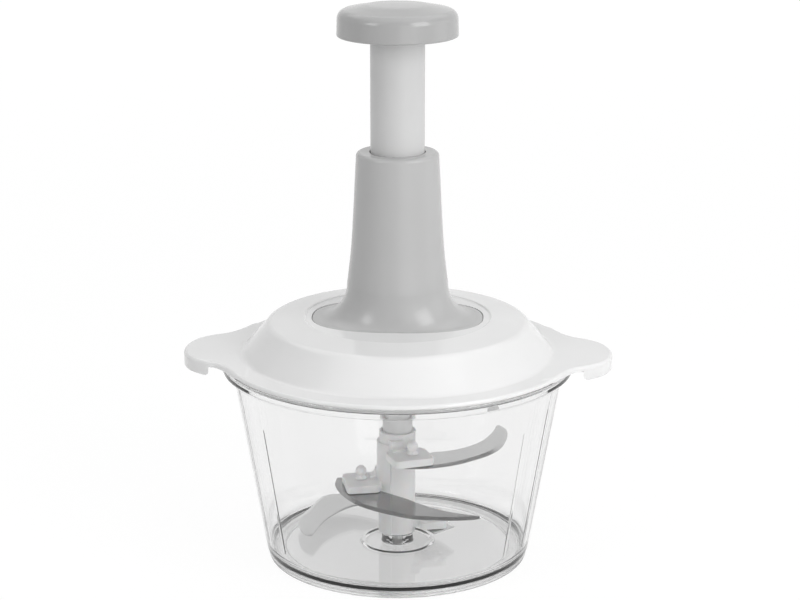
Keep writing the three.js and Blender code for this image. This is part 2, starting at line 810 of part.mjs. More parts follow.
function lidShell() {
  const slope = (slope_foot_radius - plateau_radius) / (plateau_rise - slope_foot_rise);
  const slope_wall = lid_wall * Math.hypot(1, slope);
  const slopeInside = (height) => slope_foot_radius - slope_wall
    - slope * (height - brim_top - slope_foot_rise);
  const roof_edge = brim_top + plateau_rise - lid_wall;
  const dish_radius = flange_half_length + dish_margin;
  const shell = revolveRing([
    [slopeInside(brim_bottom), brim_bottom],
    [brim_radius, brim_bottom], [brim_radius, brim_top, brim_edge_fillet],
    [slope_foot_radius, brim_top + slope_foot_rise, crease_fillet],
    [plateau_radius, brim_top + plateau_rise, crease_fillet],
    [dish_radius, crown_top + dish_depth], [dish_radius - dish_slant, crown_top],
    [lid_hole_radius, crown_top],
    [lid_hole_radius, crown_bottom], [flange_half_length, crown_bottom],
    [slopeInside(roof_edge), roof_edge],
  ], wide_sides);
  const skirt_end = rim_radius + ear_gap;
  const under_brim = revolve([
    [0, ear_bottom - overrun], [skirt_end + ear_lip_round, ear_bottom - overrun],
    [skirt_end + ear_lip_round, ear_bottom],
    [skirt_end + ear_lip_round / 4, ear_bottom + ear_lip_round / 4],
    [skirt_end, ear_bottom + ear_lip_round], [skirt_end, brim_bottom], [0, brim_bottom],
  ], wide_sides);
  const ears = [0, 180].map((side) => cut(ear(side), under_brim));
  const post_top_height = crown_bottom + lid_wall / 2;
  const posts = copiesAt(basePlaces(), rod(screw_post_radius, brim_bottom, post_top_height));
  const pilot = rod(screw_radius + seat_gap, brim_bottom - overrun, crown_bottom);
  const recess = raised(
    ringAt(flange_half_length + seat_gap, flange_half_width + seat_gap, flange_power, 0),
    flange_bottom - seat_gap, crown_top + overrun,
  );
  const through = rod(screw_radius + seat_gap, crown_bottom - overrun, crown_top + overrun);
  return cut(
    join(shell, ...ears, ...posts),
    recess,
    ...copiesAt(basePlaces(), pilot),
    ...copiesAt(towerPlaces(), through),
  );
}

function lidBase() {
  const hole = shaft_radius + seat_gap + bush_body_wall + seat_gap;
  const tongue_bottom = (base_plate_bottom + base_plate_top - tongue_thickness) / 2;
  const tongue_top = tongue_bottom + tongue_thickness;
  const plate = revolveRing([
    [hole, base_plate_bottom], [base_plate_radius, base_plate_bottom],
    [base_plate_radius, tongue_bottom], [base_plate_radius + tongue_reach, tongue_bottom],
    [base_plate_radius + tongue_reach, tongue_top], [base_plate_radius, tongue_top],
    [base_plate_radius, base_plate_top], [hole, base_plate_top],
  ], middle_sides);
  const hole_cut = rod(
    screw_radius + seat_gap, base_plate_bottom - overrun, base_plate_top + overrun,
  );
  return cut(plate, ...copiesAt(basePlaces(), hole_cut));
}

function lidSeal() {
  const bottom = shoulder_top + seat_gap;
  const inner = base_plate_radius + seat_gap;
  const outer = rim_radius - rim_wall - seat_gap;
  const groove = base_plate_radius + tongue_reach + seat_gap;
  const middle = (base_plate_bottom + base_plate_top) / 2;
  const half_groove = tongue_thickness / 2 + seat_gap / 2;
  return revolveRing([
    [inner, bottom], [outer - seal_lip, bottom], [outer, middle],
    [outer - seal_lip, base_plate_top], [inner, base_plate_top],
    [inner, middle + half_groove], [groove, middle + half_groove],
    [groove, middle - half_groove], [inner, middle - half_groove],
  ], middle_sides);
}

function baseScrews() {
  return copiesAt(basePlaces(), screw(base_plate_bottom - seat_gap, base_screw_length));
}

// Tower

// A ring between a circle and a rounded oblong, as plan points or at a height.
function ringAt(half_x, half_y, power, turn) {
  const points = [];
  for (let i = 0; i < middle_sides; i += 1) {
    const angle = full_turn * (i / middle_sides) + turn;
    const c = Math.cos(angle);
    const s = Math.sin(angle);
    points.push(new THREE.Vector2(
      half_x * Math.sign(c) * Math.abs(c) ** (2 / power),
      half_y * Math.sign(s) * Math.abs(s) ** (2 / power),
    ));
  }
  return points;
}

function levelRing(half_x, half_y, power, height) {
  return ringAt(half_x, half_y, power, 0).map((p) => new THREE.Vector3(p.x, p.y, height));
}

// Half width of the round upper part at a share of its height.
function taperedHalfWidth(share) {
  const last = tower_taper_shares.length - 1;
  const place = share * last;
  const before = Math.min(Math.floor(place), last - 1);
  const taper = THREE.MathUtils.lerp(
    tower_taper_shares[before], tower_taper_shares[before + 1], place - before,
  );
  return THREE.MathUtils.lerp(tower_foot_half_width, tower_top_radius, taper);
}

// The tower's surface, moved in by an inset, from foot to top.
function towerRings(steps, inset, foot, foot_half_x, foot_half_y, roof) {
  const flare_top = flange_top + flare_height;
  const rings = [];
  for (let i = steps; i > 0; i -= 1) {
    const angle = quarter * (i / steps);
    const spread = 1 - Math.cos(angle);
    const power = THREE.MathUtils.lerp(2, flange_power, spread);
    rings.push(levelRing(
      THREE.MathUtils.lerp(tower_foot_half_width - inset, foot_half_x, spread),
      THREE.MathUtils.lerp(tower_foot_half_width - inset, foot_half_y, spread),
      power,
      THREE.MathUtils.lerp(flare_top, foot, Math.sin(angle)),
    ));
  }
  const taper_steps = tower_taper_shares.length - 1;
  for (let i = 0; i <= taper_steps; i += 1) {
    const share = i / taper_steps;
    const half = taperedHalfWidth(share) - inset;
    rings.push(levelRing(half, half, 2, THREE.MathUtils.lerp(flare_top, roof, share)));
  }
  return rings;
}

function towerOutside() {
  const rings = towerRings(
    flare_steps, 0, flange_top, tower_foot_half_width + flare_reach,
    tower_foot_half_width + flare_side_reach, tower_top - tower_top_fillet,
  );
  const edge = levelRing(
    flange_half_length, flange_half_width, flange_power, flange_top - seat_gap,
  );
  const foot = levelRing(flange_half_length, flange_half_width, flange_power, flange_bottom);
  const shoulder = tower_top_radius - tower_top_fillet / 3;
  const rim = tower_top_radius - tower_top_fillet;
  return skin([
    foot, edge, ...rings,
    levelRing(shoulder, shoulder, 2, tower_top - tower_top_fillet / 3),
    levelRing(rim, rim, 2, tower_top),
  ]);
}

function towerInside() {
  const inner_foot = flange_bottom - overrun;
  return skin(towerRings(
    inner_flare_steps, tower_wall, inner_foot,
    tower_foot_half_width + flare_reach - 2 * tower_wall,
    tower_foot_half_width + flare_side_reach - tower_wall, tower_top - tower_roof,
  ));
}

function tower() {
  const outside = towerOutside();
  const hollow = cut(outside, towerInside());
  const ribs_top = tube_flange_top - seat_gap;
  const ribs_bottom = tube_bottom - travel - overrun;
  const ribs = [1, -1].map((side) => {
    const reach = tower_foot_half_width - guide_rib_radius;
    const bar = new THREE.BoxGeometry(2 * guide_rib_half_width, reach, ribs_top - ribs_bottom);
    bar.translate(0, side * (guide_rib_radius + reach / 2), (ribs_top + ribs_bottom) / 2);
    return overlapOf(bar, outside);
  });
  const boss_top = flange_top + tower_boss_height;
  const boss = rod(screw_post_radius, flange_bottom, boss_top);
  const bosses = copiesAt(towerPlaces(), boss).map((post) => overlapOf(post, outside));
  const screw_tip = crown_bottom - seat_gap + tower_screw_length;
  const pilot = rod(screw_radius + seat_gap, flange_bottom - overrun, screw_tip + seat_gap);
  const mouth = rod(
    tower_hole_radius, tower_top - tower_roof - overrun, tower_top + overrun, middle_sides,
  );
  return cut(
    join(hollow, ...ribs, ...bosses), mouth, ...copiesAt(towerPlaces(), pilot),
  );
}

function towerScrews() {
  return copiesAt(towerPlaces(), screw(crown_bottom - seat_gap, tower_screw_length));
}

function guideBush() {
  const top = tower_top - tower_roof - seat_gap;
  const inner = tube_radius + seat_gap;
  return revolveRing([
    [inner, top - bush_length], [inner + bush_wall, top - bush_length],
    [inner + bush_wall, top], [inner, top],
  ], middle_sides);
}

// Clutch

// A ring of saw teeth: from the root its ground face climbs between two heights along each
// tooth, then drops back steeply. The turn is in degrees.
function sawTeeth(root, low, high, turn) {
  const inner = disc_radius * tooth_root_share;
  const profile = [];
  for (let i = 0; i < tooth_count; i += 1) {
    profile.push([i / tooth_count, low]);
    profile.push([(i + 1 - tooth_flank_share) / tooth_count, high]);
  }
  const level = (radius, heightOf) => profile.map(([share, height]) => {
    const place = polar(radius, 360 * share + turn);
    return new THREE.Vector3(place.x, place.y, heightOf(height));
  });
  return closedSkin([
    level(inner, () => root), level(disc_radius, () => root),
    level(disc_radius, (height) => height), level(inner, (height) => height),
  ]);
}

// A surface through rings that close on themselves, turned to face outwards.
function closedSkin(rings) {
  const count = rings[0].length;
  const positions = rings.flat().flatMap((point) => [point.x, point.y, point.z]);
  const faces = [];
  rings.forEach((ring, k) => {
    const low = k * count;
    const high = ((k + 1) % rings.length) * count;
    for (let i = 0; i < count; i += 1) {
      const next = (i + 1) % count;
      faces.push(low + i, low + next, high + next);
      faces.push(low + i, high + next, high + i);
    }
  });
  if (signedVolume(positions, faces) < 0) faces.reverse();
  const geometry = new THREE.BufferGeometry();
  geometry.setAttribute('position', new THREE.Float32BufferAttribute(positions, 3));
  geometry.setIndex(faces);
  return geometry;
}

function signedVolume(positions, faces) {
  const corner = (i) => new THREE.Vector3().fromArray(positions, 3 * faces[i]);
  let sum = 0;
  for (let i = 0; i < faces.length; i += 3) {
    sum += corner(i).dot(corner(i + 1).cross(corner(i + 2)));
  }
  return sum / 6;
}

function outputSpindle() {
  const shoulder = hub_top - collar_depth + running_gap;
  const groove_top = base_plate_bottom - bush_drop - seat_gap;
  const groove_bottom = groove_top - clip_thickness - seat_gap;
  const groove_radius = shaft_radius - clip_depth;
  const body = revolve([
    [0, shoulder], [shaft_radius, shoulder], [shaft_radius, groove_bottom],
    [groove_radius, groove_bottom], [groove_radius, groove_top], [shaft_radius, groove_top],
    [shaft_radius, driven_disc_bottom], [disc_radius, driven_disc_bottom],
    [disc_radius, driven_disc_top], [0, driven_disc_top],
  ], inner_sides);
  const hex = rod(
    hex_radius, hub_top - socket_depth + running_gap, shoulder + overrun, hex_sides,
  );
  const teeth = sawTeeth(
    driven_disc_top - overrun, driven_disc_top, driven_disc_top + tooth_height,
    -blades_angle,
  );
  return join(body, hex, teeth);
}

function spindleBush() {
  const inner = shaft_radius + seat_gap;
  const outer = inner + bush_body_wall;
  const flange_bottom_height = base_plate_top + seat_gap;
  return revolveRing([
    [inner, base_plate_bottom - bush_drop], [outer, base_plate_bottom - bush_drop],
    [outer, flange_bottom_height], [bush_flange_radius, flange_bottom_height],
    [bush_flange_radius, bush_flange_top], [inner, bush_flange_top],
  ], inner_sides);
}

function spindleClip() {
  const top = base_plate_bottom - bush_drop - seat_gap - seat_gap / 2;
  const inner = shaft_radius - clip_depth + seat_gap;
  const outer_arc = [];
  const inner_arc = [];
  for (let i = 0; i <= clip_steps; i += 1) {
    const angle = clip_opening / 2 + (360 - clip_opening) * (i / clip_steps);
    outer_arc.push(polar(clip_radius, angle));
    inner_arc.push(polar(inner, angle));
  }
  return raised([...outer_arc, ...inner_arc.reverse()], top - clip_thickness, top);
}

function ratchetDriver() {
  const body = revolve([
    [0, driver_disc_bottom], [disc_radius, driver_disc_bottom], [disc_radius, driver_disc_top],
    [driver_hub_radius, driver_disc_top], [driver_hub_radius, driver_hub_top],
    [0, driver_hub_top],
  ], inner_sides);
  const slot_width = strip_width + 2 * seat_gap;
  const slot_thickness = strip_thickness + 2 * seat_gap;
  const slot_depth = strip_seat_depth + seat_gap;
  const slot = new THREE.BoxGeometry(slot_width, slot_thickness, slot_depth + overrun);
  slot.translate(0, 0, driver_hub_top - slot_depth + (slot_depth + overrun) / 2);
  const teeth = sawTeeth(
    driver_disc_bottom + overrun, driver_disc_bottom - tooth_height, driver_disc_bottom,
    ratchet_play,
  );
  return cut(
    join(body, teeth), slot,
    crossRod(driver_pin_radius + seat_gap, 2 * disc_radius),
  );
}

// A rod along Y through the driver's hub, where the pin holds the strip.
function crossRod(radius, length) {
  const height = (housing_roof_bottom + housing_top) / 2;
  return new THREE.CylinderGeometry(radius, radius, length, pin_sides).translate(0, 0, height);
}

function driverPin() {
  return crossRod(driver_pin_radius, 2 * driver_hub_radius - 2 * seat_gap);
}

function clutchHousing() {
  const inner = housing_inner_radius;
  const bottom = base_plate_top + seat_gap;
  const hole = driver_hub_radius + running_gap;
  const cup_top = housing_top + spring_cup_depth;
  return revolveRing([
    [inner, bottom], [housing_flange_radius, bottom],
    [housing_flange_radius, bottom + housing_flange_thickness],
    [housing_outer_radius, bottom + housing_flange_thickness],
    [housing_outer_radius, housing_roof_bottom],
    [spring_cup_radius, housing_roof_bottom], [spring_cup_radius, cup_top],
    [spring_cup_radius - spring_cup_wall, cup_top],
    [spring_cup_radius - spring_cup_wall, housing_top], [hole, housing_top],
    [hole, housing_roof_bottom], [inner, housing_roof_bottom],
  ], inner_sides);
}

// Twisted strip and its nut

function twistAngle(height) {
  return turn_direction * full_turn * (Math.max(0, height - twist_start) / lead);
}

function stripSection(width, thickness, height) {
  const angle = twistAngle(height);
  const column_shares = [-1 / 2, -1 / 6, 1 / 6, 1 / 2];
  const lower = column_shares.map((share) => new THREE.Vector3(
    share * width, -thickness / 2, height,
  ));
  const upper = [...column_shares].reverse().map((share) => new THREE.Vector3(
    share * width, thickness / 2, height,
  ));
  const up = new THREE.Vector3(0, 0, 1);
  return [...lower, ...upper].map((point) => point.applyAxisAngle(up, angle));
}

// A bar of the strip's form over the steps of the twist that lie from bottom to top.
function twistedBar(width, thickness, bottom, top) {
  const step = lead / strip_steps_per_turn;
  const first = Math.floor((bottom - twist_start) / step);
  const last = Math.ceil((top - twist_start) / step);
  const rings = [];
  for (let i = first; i <= last; i += 1) {
    rings.push(stripSection(width, thickness, twist_start + i * step));
  }
  return rings;
}

function driveStrip() {
  const twisted = twistedBar(strip_width, strip_thickness, twist_start, strip_top);
  const bar = skin([stripSection(strip_width, strip_thickness, strip_bottom), ...twisted]);
  return cut(bar, crossRod(driver_pin_radius + seat_gap, strip_width));
}

function nutPin(side, radius, length) {
  const place = tube_radius - seat_gap / 2 - nut_pin_length / 2;
  return new THREE.CylinderGeometry(radius, radius, length, pin_sides)
    .rotateZ(quarter)
    .translate(side * place, 0, tube_bottom + nut_pin_rise);
}

function driveNut() {
  const spigot_radius = tube_radius - tube_wall - seat_gap;
  const flange_top_height = nut_bottom + nut_flange_thickness;
  const top = tube_bottom + nut_spigot_height;
  const body = revolve([
    [0, nut_bottom], [nut_flange_radius, nut_bottom], [nut_flange_radius, flange_top_height],
    [spigot_radius, flange_top_height], [spigot_radius, top], [0, top],
  ], inner_sides);
  const slot = skin(twistedBar(
    strip_width + 2 * nut_gap, strip_thickness + 2 * nut_gap,
    nut_bottom - overrun, top + overrun,
  ));
  const holes = [1, -1].map((side) => nutPin(
    side, nut_pin_radius + seat_gap, nut_pin_length + 2 * seat_gap,
  ));
  return cut(body, slot, ...holes);
}

function nutPins() {
  return [1, -1].map((side) => nutPin(side, nut_pin_radius, nut_pin_length));
}

// Return spring

function springWire() {
  const bottom = housing_top + seat_gap + wire_radius;
  const top = nut_bottom - seat_gap - wire_radius;
  const steps = spring_turns * spring_steps_per_turn;
  const rings = [];
  for (let i = 0; i <= steps; i += 1) {
    const angle = full_turn * (i / spring_steps_per_turn);
    const height = THREE.MathUtils.lerp(bottom, top, i / steps);
    const ring = [];
    for (let k = 0; k < wire_sides; k += 1) {
      const around = -full_turn * (k / wire_sides);
      const radius = spring_radius + wire_radius * Math.cos(around);
      ring.push(new THREE.Vector3(
        radius * Math.cos(angle), radius * Math.sin(angle),
        height + wire_radius * Math.sin(around),
      ));
    }
    rings.push(ring);
  }
  return rings;
}

// The least distance between points of the wire that are half a turn or more apart.
function leastGap(rings) {
  const far = spring_steps_per_turn / 2;
  let least = Infinity;
  rings.forEach((ring, i) => {
    rings.slice(i + far).forEach((other) => {
      ring.forEach((p) => other.forEach((q) => {
        least = Math.min(least, p.distanceTo(q));
      }));
    });
  });
  return least;
}

function returnSpring() {
  const rings = springWire();
  console.log(`return spring, least gap to itself: ${leastGap(rings).toFixed(2)} mm`);
  return skin(rings);
}

// Plunger

function plungerTube() {
  const inner = tube_radius - tube_wall;
  const body = revolve([
    [0, tube_top - tube_web], [inner, tube_top - tube_web], [inner, tube_bottom],
    [tube_flange_radius, tube_bottom], [tube_flange_radius, tube_flange_top],
    [tube_radius, tube_flange_top], [tube_radius, tube_top], [0, tube_top],
  ], middle_sides);
  const notch_inner = guide_rib_radius - running_gap;
  const notches = [1, -1].map((side) => new THREE.BoxGeometry(
    2 * (guide_rib_half_width + running_gap), 2 * tube_flange_thickness,
    tube_flange_thickness + 2 * overrun,
  ).translate(
    0, side * (notch_inner + tube_flange_thickness), tube_bottom + tube_flange_thickness / 2,
  ));
  const screw_hole = rod(
    screw_radius + seat_gap, tube_top - tube_web - overrun, tube_top + overrun,
  );
  const pin_holes = [1, -1].map((side) => nutPin(
    side, nut_pin_radius + seat_gap, nut_pin_length + 2 * overrun,
  ));
  return cut(body, ...notches, screw_hole, ...pin_holes);
}

function knobCap() {
  const inner = knob_radius - knob_wall;
  const edge = knob_radius - knob_draft;
  const edge_height = knob_top - knob_crown;
  const ceiling = knob_top - knob_wall;
  const boss_bottom = tube_top + 2 * seat_gap + knob_base_thickness;
  const body = revolve([
    [0, boss_bottom], [knob_boss_radius, boss_bottom], [knob_boss_radius, ceiling],
    [inner - knob_edge_fillet, ceiling - knob_crown / 2],
    [inner, edge_height - knob_edge_fillet], [inner, knob_bottom],
    [knob_radius, knob_bottom, knob_foot_fillet], [edge, edge_height, knob_edge_fillet],
    [knob_radius / 2, knob_top - knob_crown / 5], [0, knob_top],
  ], middle_sides);
  const pilot = rod(screw_radius + seat_gap, boss_bottom - overrun, ceiling - seat_gap);
  return cut(body, pilot);
}

function knobBase() {
  const outer = knob_radius - knob_wall - seat_gap;
  const inner = tube_radius + seat_gap;
  const collar = inner + knob_collar_wall;
  const bottom = knob_bottom + knob_base_lift;
  const cap_bottom = tube_top + seat_gap;
  const body = revolve([
    [0, cap_bottom], [inner, cap_bottom], [inner, bottom], [outer, bottom],
    [outer, bottom + knob_base_thickness], [collar, bottom + knob_base_thickness],
    [collar, cap_bottom + knob_base_thickness], [0, cap_bottom + knob_base_thickness],
  ], middle_sides);
  const hole = rod(
    screw_radius + seat_gap, cap_bottom - overrun, cap_bottom + knob_base_thickness + overrun,
  );
  return cut(body, hole);
}

function knobScrew() {
  return screw(tube_top - tube_web - seat_gap, knob_screw_length);
}

// Assembly

function piece(name, geometry, material) {
  const mesh = new THREE.Mesh(geometry, material);
  mesh.name = name;
  return mesh;
}

// Copies of one piece, each a mesh of its own with a number in its name.
function copies(name, geometries, material) {
  return geometries.map((geometry, i) => piece(`${name}_${i + 1}`, geometry, material));
}

const chopper = new THREE.Group();

const bowl_group = new THREE.Group();
bowl_group.add(
  piece('bowl', bowl(), clear_plastic),
  piece('foot_ring', footRing(), clear_rubber),
  piece('pivot_pin', pivotPin(), machined_steel),
);

const blade_group = new THREE.Group();
blade_group.rotation.z = THREE.MathUtils.degToRad(blades_angle);
blade_group.add(
  piece('blade_hub', bladeHub(), hub_plastic),
  piece('upper_blade', bladeBody(upper_blade), blade_steel),
  piece('middle_blade', bladeBody(middle_blade), blade_steel),
  piece('lower_blade', bladeBody(lower_blade), blade_steel),
  ...copies('blade_stake', [upper_blade, middle_blade, lower_blade].map(stake), hub_plastic),
);

const drive_group = new THREE.Group();
drive_group.rotation.z = THREE.MathUtils.degToRad(blades_angle);
drive_group.add(
  piece('output_spindle', outputSpindle(), grey_plastic),
  piece('spindle_clip', spindleClip(), spring_steel),
);

const lid_group = new THREE.Group();
lid_group.add(
  piece('lid_shell', lidShell(), white_plastic),
  piece('lid_base', lidBase(), white_plastic),
  piece('lid_seal', lidSeal(), seal_rubber),
  ...copies('base_screw', baseScrews(), machined_steel),
  piece('tower', tower(), grey_plastic),
  ...copies('tower_screw', towerScrews(), machined_steel),
  piece('guide_bush', guideBush(), white_plastic),
  piece('spindle_bush', spindleBush(), white_plastic),
  piece('clutch_housing', clutchHousing(), white_plastic),
);

const screw_group = new THREE.Group();
screw_group.add(
  piece('drive_strip', driveStrip(), machined_steel),
  piece('ratchet_driver', ratchetDriver(), grey_plastic),
  piece('driver_pin', driverPin(), machined_steel),
);

const plunger_group = new THREE.Group();
plunger_group.add(
  piece('plunger_tube', plungerTube(), tube_plastic),
  piece('knob_cap', knobCap(), grey_plastic),
  piece('knob_base', knobBase(), grey_plastic),
  piece('knob_screw', knobScrew(), machined_steel),
  piece('drive_nut', driveNut(), machined_steel),
  ...copies('nut_pin', nutPins(), machined_steel),
  piece('return_spring', returnSpring(), spring_steel),
);

chopper.add(bowl_group, blade_group, drive_group, lid_group, screw_group, plunger_group);

export default chopper;
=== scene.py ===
"""The looks of a press-down food chopper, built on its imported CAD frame.

Lengths are written in millimetres, and a mesh is made in metres. Angles are in degrees.
"""

import math

import bmesh
import bpy
import numpy as np
from mathutils import Matrix, Vector

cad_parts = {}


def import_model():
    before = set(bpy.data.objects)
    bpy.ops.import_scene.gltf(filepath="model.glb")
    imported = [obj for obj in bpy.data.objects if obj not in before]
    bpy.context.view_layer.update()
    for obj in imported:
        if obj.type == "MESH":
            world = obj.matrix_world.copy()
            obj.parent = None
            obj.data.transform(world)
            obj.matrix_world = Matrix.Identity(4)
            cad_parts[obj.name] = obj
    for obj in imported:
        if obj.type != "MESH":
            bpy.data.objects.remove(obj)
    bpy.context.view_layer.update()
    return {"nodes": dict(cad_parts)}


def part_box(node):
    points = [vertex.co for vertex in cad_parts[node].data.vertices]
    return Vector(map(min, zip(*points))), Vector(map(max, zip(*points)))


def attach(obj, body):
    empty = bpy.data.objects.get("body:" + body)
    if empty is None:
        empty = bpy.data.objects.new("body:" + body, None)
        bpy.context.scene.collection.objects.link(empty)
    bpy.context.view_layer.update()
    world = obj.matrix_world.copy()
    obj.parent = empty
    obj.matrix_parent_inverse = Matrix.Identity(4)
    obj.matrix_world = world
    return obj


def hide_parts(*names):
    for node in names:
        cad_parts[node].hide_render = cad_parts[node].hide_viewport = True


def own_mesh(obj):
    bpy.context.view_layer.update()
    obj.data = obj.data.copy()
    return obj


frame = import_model()

MM = 0.001
scene = bpy.context.scene

# Gaps, the knob's travel and the turn of the blades at rest
seat_gap = 0.3
running_gap = 0.4
travel = 52
blades_angle = 2.4

# Bowl and foot ring
bowl_radius = 64.1
wall_lean = 0.16946
wall_thickness = 2.2
rim_radius, rim_bore = 85, 82.6
rim_bottom, rim_top = 95.6, 100.4
shoulder_top = 97.8
floor_bottom, floor_top, post_top = 2.6, 4.8, 9.6
foot_step_radius, foot_step_width = 61.127, 5.5
foot_step_bottom, foot_step_top = 1.5, 4.0
foot_radius = 63.7

# Hub and blades
hub_bottom, hub_top = 10.0, 62.4
collar_depth, socket_depth = 3, 17
platform_thickness = 3.8
blade_thickness = 1.0
stake_hole = 1.9
peg_spot = (20, -5.5)

# Lid
brim_bottom, brim_top = 100.7, 102.6
brim_radius = 85.7
slope_foot, slope_head, slope_lift, slope_rise = 75.2, 62.5, 0.4, 15.6
crown_bottom, crown_top = 115.0, 119.8
ear_reach, ear_rise, ear_depth = 104, 0.5, 7.2
base_plate_bottom, base_plate_top = 98.4, 100.4
screw_hole, screw_post = 1.4, 3.4

# Tower, with its flange as a superellipse
flange_x, flange_y, flange_power = 41.2, 28, 2.5
flange_bottom, flange_top = 117.6, 120.1
tower_foot, tower_head, tower_wall = 24.3, 19.8, 2.4
flare_x, flare_y, flare_height = 15, 3.2, 17
tower_top = 201.2

# Plunger and knob
tube_bottom, tube_flange_top, tube_top = 182.8, 185.3, 261.6
knob_bottom, knob_top = 256.3, 271.6
knob_cap_thickness = 2.4
knob_base_thickness = 2.2


# Meshes

def make(name, verts, faces):
    """A mesh object from points in millimetres, its normals turned outwards."""
    mesh = bpy.data.meshes.new(name)
    mesh.from_pydata([tuple(float(c) * MM for c in v) for v in verts], [], faces)
    bm = bmesh.new()
    bm.from_mesh(mesh)
    bmesh.ops.remove_doubles(bm, verts=bm.verts, dist=1e-7)
    bmesh.ops.recalc_face_normals(bm, faces=bm.faces)
    bm.to_mesh(mesh)
    bm.free()
    obj = bpy.data.objects.new(name, mesh)
    scene.collection.objects.link(obj)
    return obj


def rounded(corners, steps=5):
    """Points along corners [x, y, radius], each radius a true arc."""
    points = []
    count = len(corners)
    for i, corner in enumerate(corners):
        p = np.array(corner[:2], float)
        radius = corner[2] if len(corner) > 2 else 0
        if radius <= 0:
            points.append(p)
            continue
        a = np.array(corners[i - 1][:2], float) - p
        b = np.array(corners[(i + 1) % count][:2], float) - p
        a /= np.linalg.norm(a)
        b /= np.linalg.norm(b)
        half = math.acos(np.clip(a @ b, -1, 1)) / 2
        inset = radius / math.tan(half)
        start, end = p + a * inset, p + b * inset
        centre = p + (a + b) / np.linalg.norm(a + b) * (radius / math.sin(half))
        va, vb = start - centre, end - centre
        turn = math.pi - 2 * half
        for k in range(steps + 1):
            t = k / steps
            arc = math.sin((1 - t) * turn) * va + math.sin(t * turn) * vb
            points.append(centre + arc / math.sin(turn))
    return points


def lathe(name, corners, sides=160, closed=False, steps=5):
    """A profile of [radius, height, fillet] turned about Z."""
    points = rounded(corners, steps)
    angles = np.linspace(0, 2 * math.pi, sides, endpoint=False)
    verts, rings, faces = [], [], []
    for r, z in points:
        if abs(r) < 1e-9:
            rings.append([len(verts)])
            verts.append((0, 0, z))
        else:
            rings.append(list(range(len(verts), len(verts) + sides)))
            verts += [(r * math.cos(a), r * math.sin(a), z) for a in angles]
    pairs = list(zip(rings, rings[1:]))
    if closed:
        pairs.append((rings[-1], rings[0]))
    for low, high in pairs:
        for i in range(sides):
            j = (i + 1) % sides
            if len(low) == 1:
                faces.append((low[0], high[j], high[i]))
            elif len(high) == 1:
                faces.append((low[i], low[j], high[0]))
            else:
                faces.append((low[i], low[j], high[j], high[i]))
    return make(name, verts, faces)


def rod(radius, bottom, top, sides, x=0.0, y=0.0):
    """An upright rod, or a prism if its sides are few."""
    corners = [[0, bottom], [radius, bottom], [radius, top], [0, top]]
    return move(lathe("rod", corners, sides), x, y)


def move(obj, x, y):
    """The object moved flat by x and y."""
    obj.data.transform(Matrix.Translation((x * MM, y * MM, 0)))
    return obj


def spin(obj, degrees):
    """The object turned about Z, the axis of everything that turns here."""
    obj.data.transform(Matrix.Rotation(math.radians(degrees), 4, "Z"))
    return obj


def loft(name, rings, ends=True):
    """A surface through rings of equally many points, its ends closed by flat faces."""
    count = len(rings[0])
    verts = [p for ring in rings for p in ring]
    faces = []
    for k in range(len(rings) - 1):
        low, high = k * count, (k + 1) * count
        for i in range(count):
            j = (i + 1) % count
            faces.append((low + i, low + j, high + j, high + i))
    if ends:
        faces.append(tuple(range(count)))
        faces.append(tuple(range((len(rings) - 1) * count, len(rings) * count)))
    return make(name, verts, faces)


def inset_outline(outline, distance):
    """A closed plan outline moved inwards."""
    p = np.array(outline, float)
    ahead, behind = np.roll(p, -1, 0), np.roll(p, 1, 0)
    tangent = ahead - behind
    tangent /= np.linalg.norm(tangent, axis=1)[:, None]
    normal = np.stack([-tangent[:, 1], tangent[:, 0]], 1)
    x, y = p[:, 0], p[:, 1]
    area = np.sum(x * np.roll(y, -1) - np.roll(x, -1) * y)
    return p + normal * distance * (1 if area > 0 else -1)


def slab(name, outline, bottom, top, edge=0.0, steps=4, foot_edge=None):
    """A plan outline raised from bottom to top, its edges rounded by edge and foot_edge."""
    foot_edge = edge if foot_edge is None else foot_edge
    rings = []

    def ring(inset, height):
        flat = inset_outline(outline, inset) if inset else np.array(outline, float)
        rings.append([(x, y, height) for x, y in flat])

    if foot_edge:
        for k in range(steps + 1):
            a = math.pi / 2 * k / steps
            ring(foot_edge * (1 - math.sin(a)), bottom + foot_edge * (1 - math.cos(a)))
    else:
        ring(0, bottom)
    if edge:
        for k in range(steps + 1):
            a = math.pi / 2 * k / steps
            ring(edge * (1 - math.cos(a)), top - edge * (1 - math.sin(a)))
    else:
        ring(0, top)
    return loft(name, rings)


def combine(obj, others, operation):
    """The object after a boolean with each of the others, which are used up."""
    for other in others:
        m = obj.modifiers.new("combine", "BOOLEAN")
        m.operation = operation
        m.solver = "MANIFOLD"
        m.object = other
        bpy.context.view_layer.update()
        graph = bpy.context.evaluated_depsgraph_get()
        mesh = bpy.data.meshes.new_from_object(obj.evaluated_get(graph))
        obj.modifiers.clear()
        obj.data = mesh
        bpy.data.objects.remove(other)
    return obj


def cut(obj, *tools):
    return combine(obj, tools, "DIFFERENCE")


def join(obj, *others):
    return combine(obj, others, "UNION")


def common(obj, other):
    return combine(obj, [other], "INTERSECT")


def twin(obj):
    """A second object of the same shape, for a boolean that uses it up."""
    again = bpy.data.objects.new(obj.name, obj.data.copy())
    scene.collection.objects.link(again)
    return again


def shade(obj, angle):
    """Smooth faces with sharp edges past an angle, flat faces kept flat."""
    obj.data.shade_smooth()
    obj.data.set_sharp_from_angle(angle=math.radians(angle))
    m = obj.modifiers.new("normals", "WEIGHTED_NORMAL")
    m.keep_sharp = True
    m.weight = 80


def dress(obj, name, body, cad_node, material, angle=32):
    """Name a finished piece, give it its finish, hang it on what it rides on and hide the CAD part
    it replaces.
    """
    obj.name = name
    obj.data.name = name
    obj.data.materials.clear()
    obj.data.materials.append(material)
    shade(obj, angle)
    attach(obj, body)
    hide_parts(cad_node)


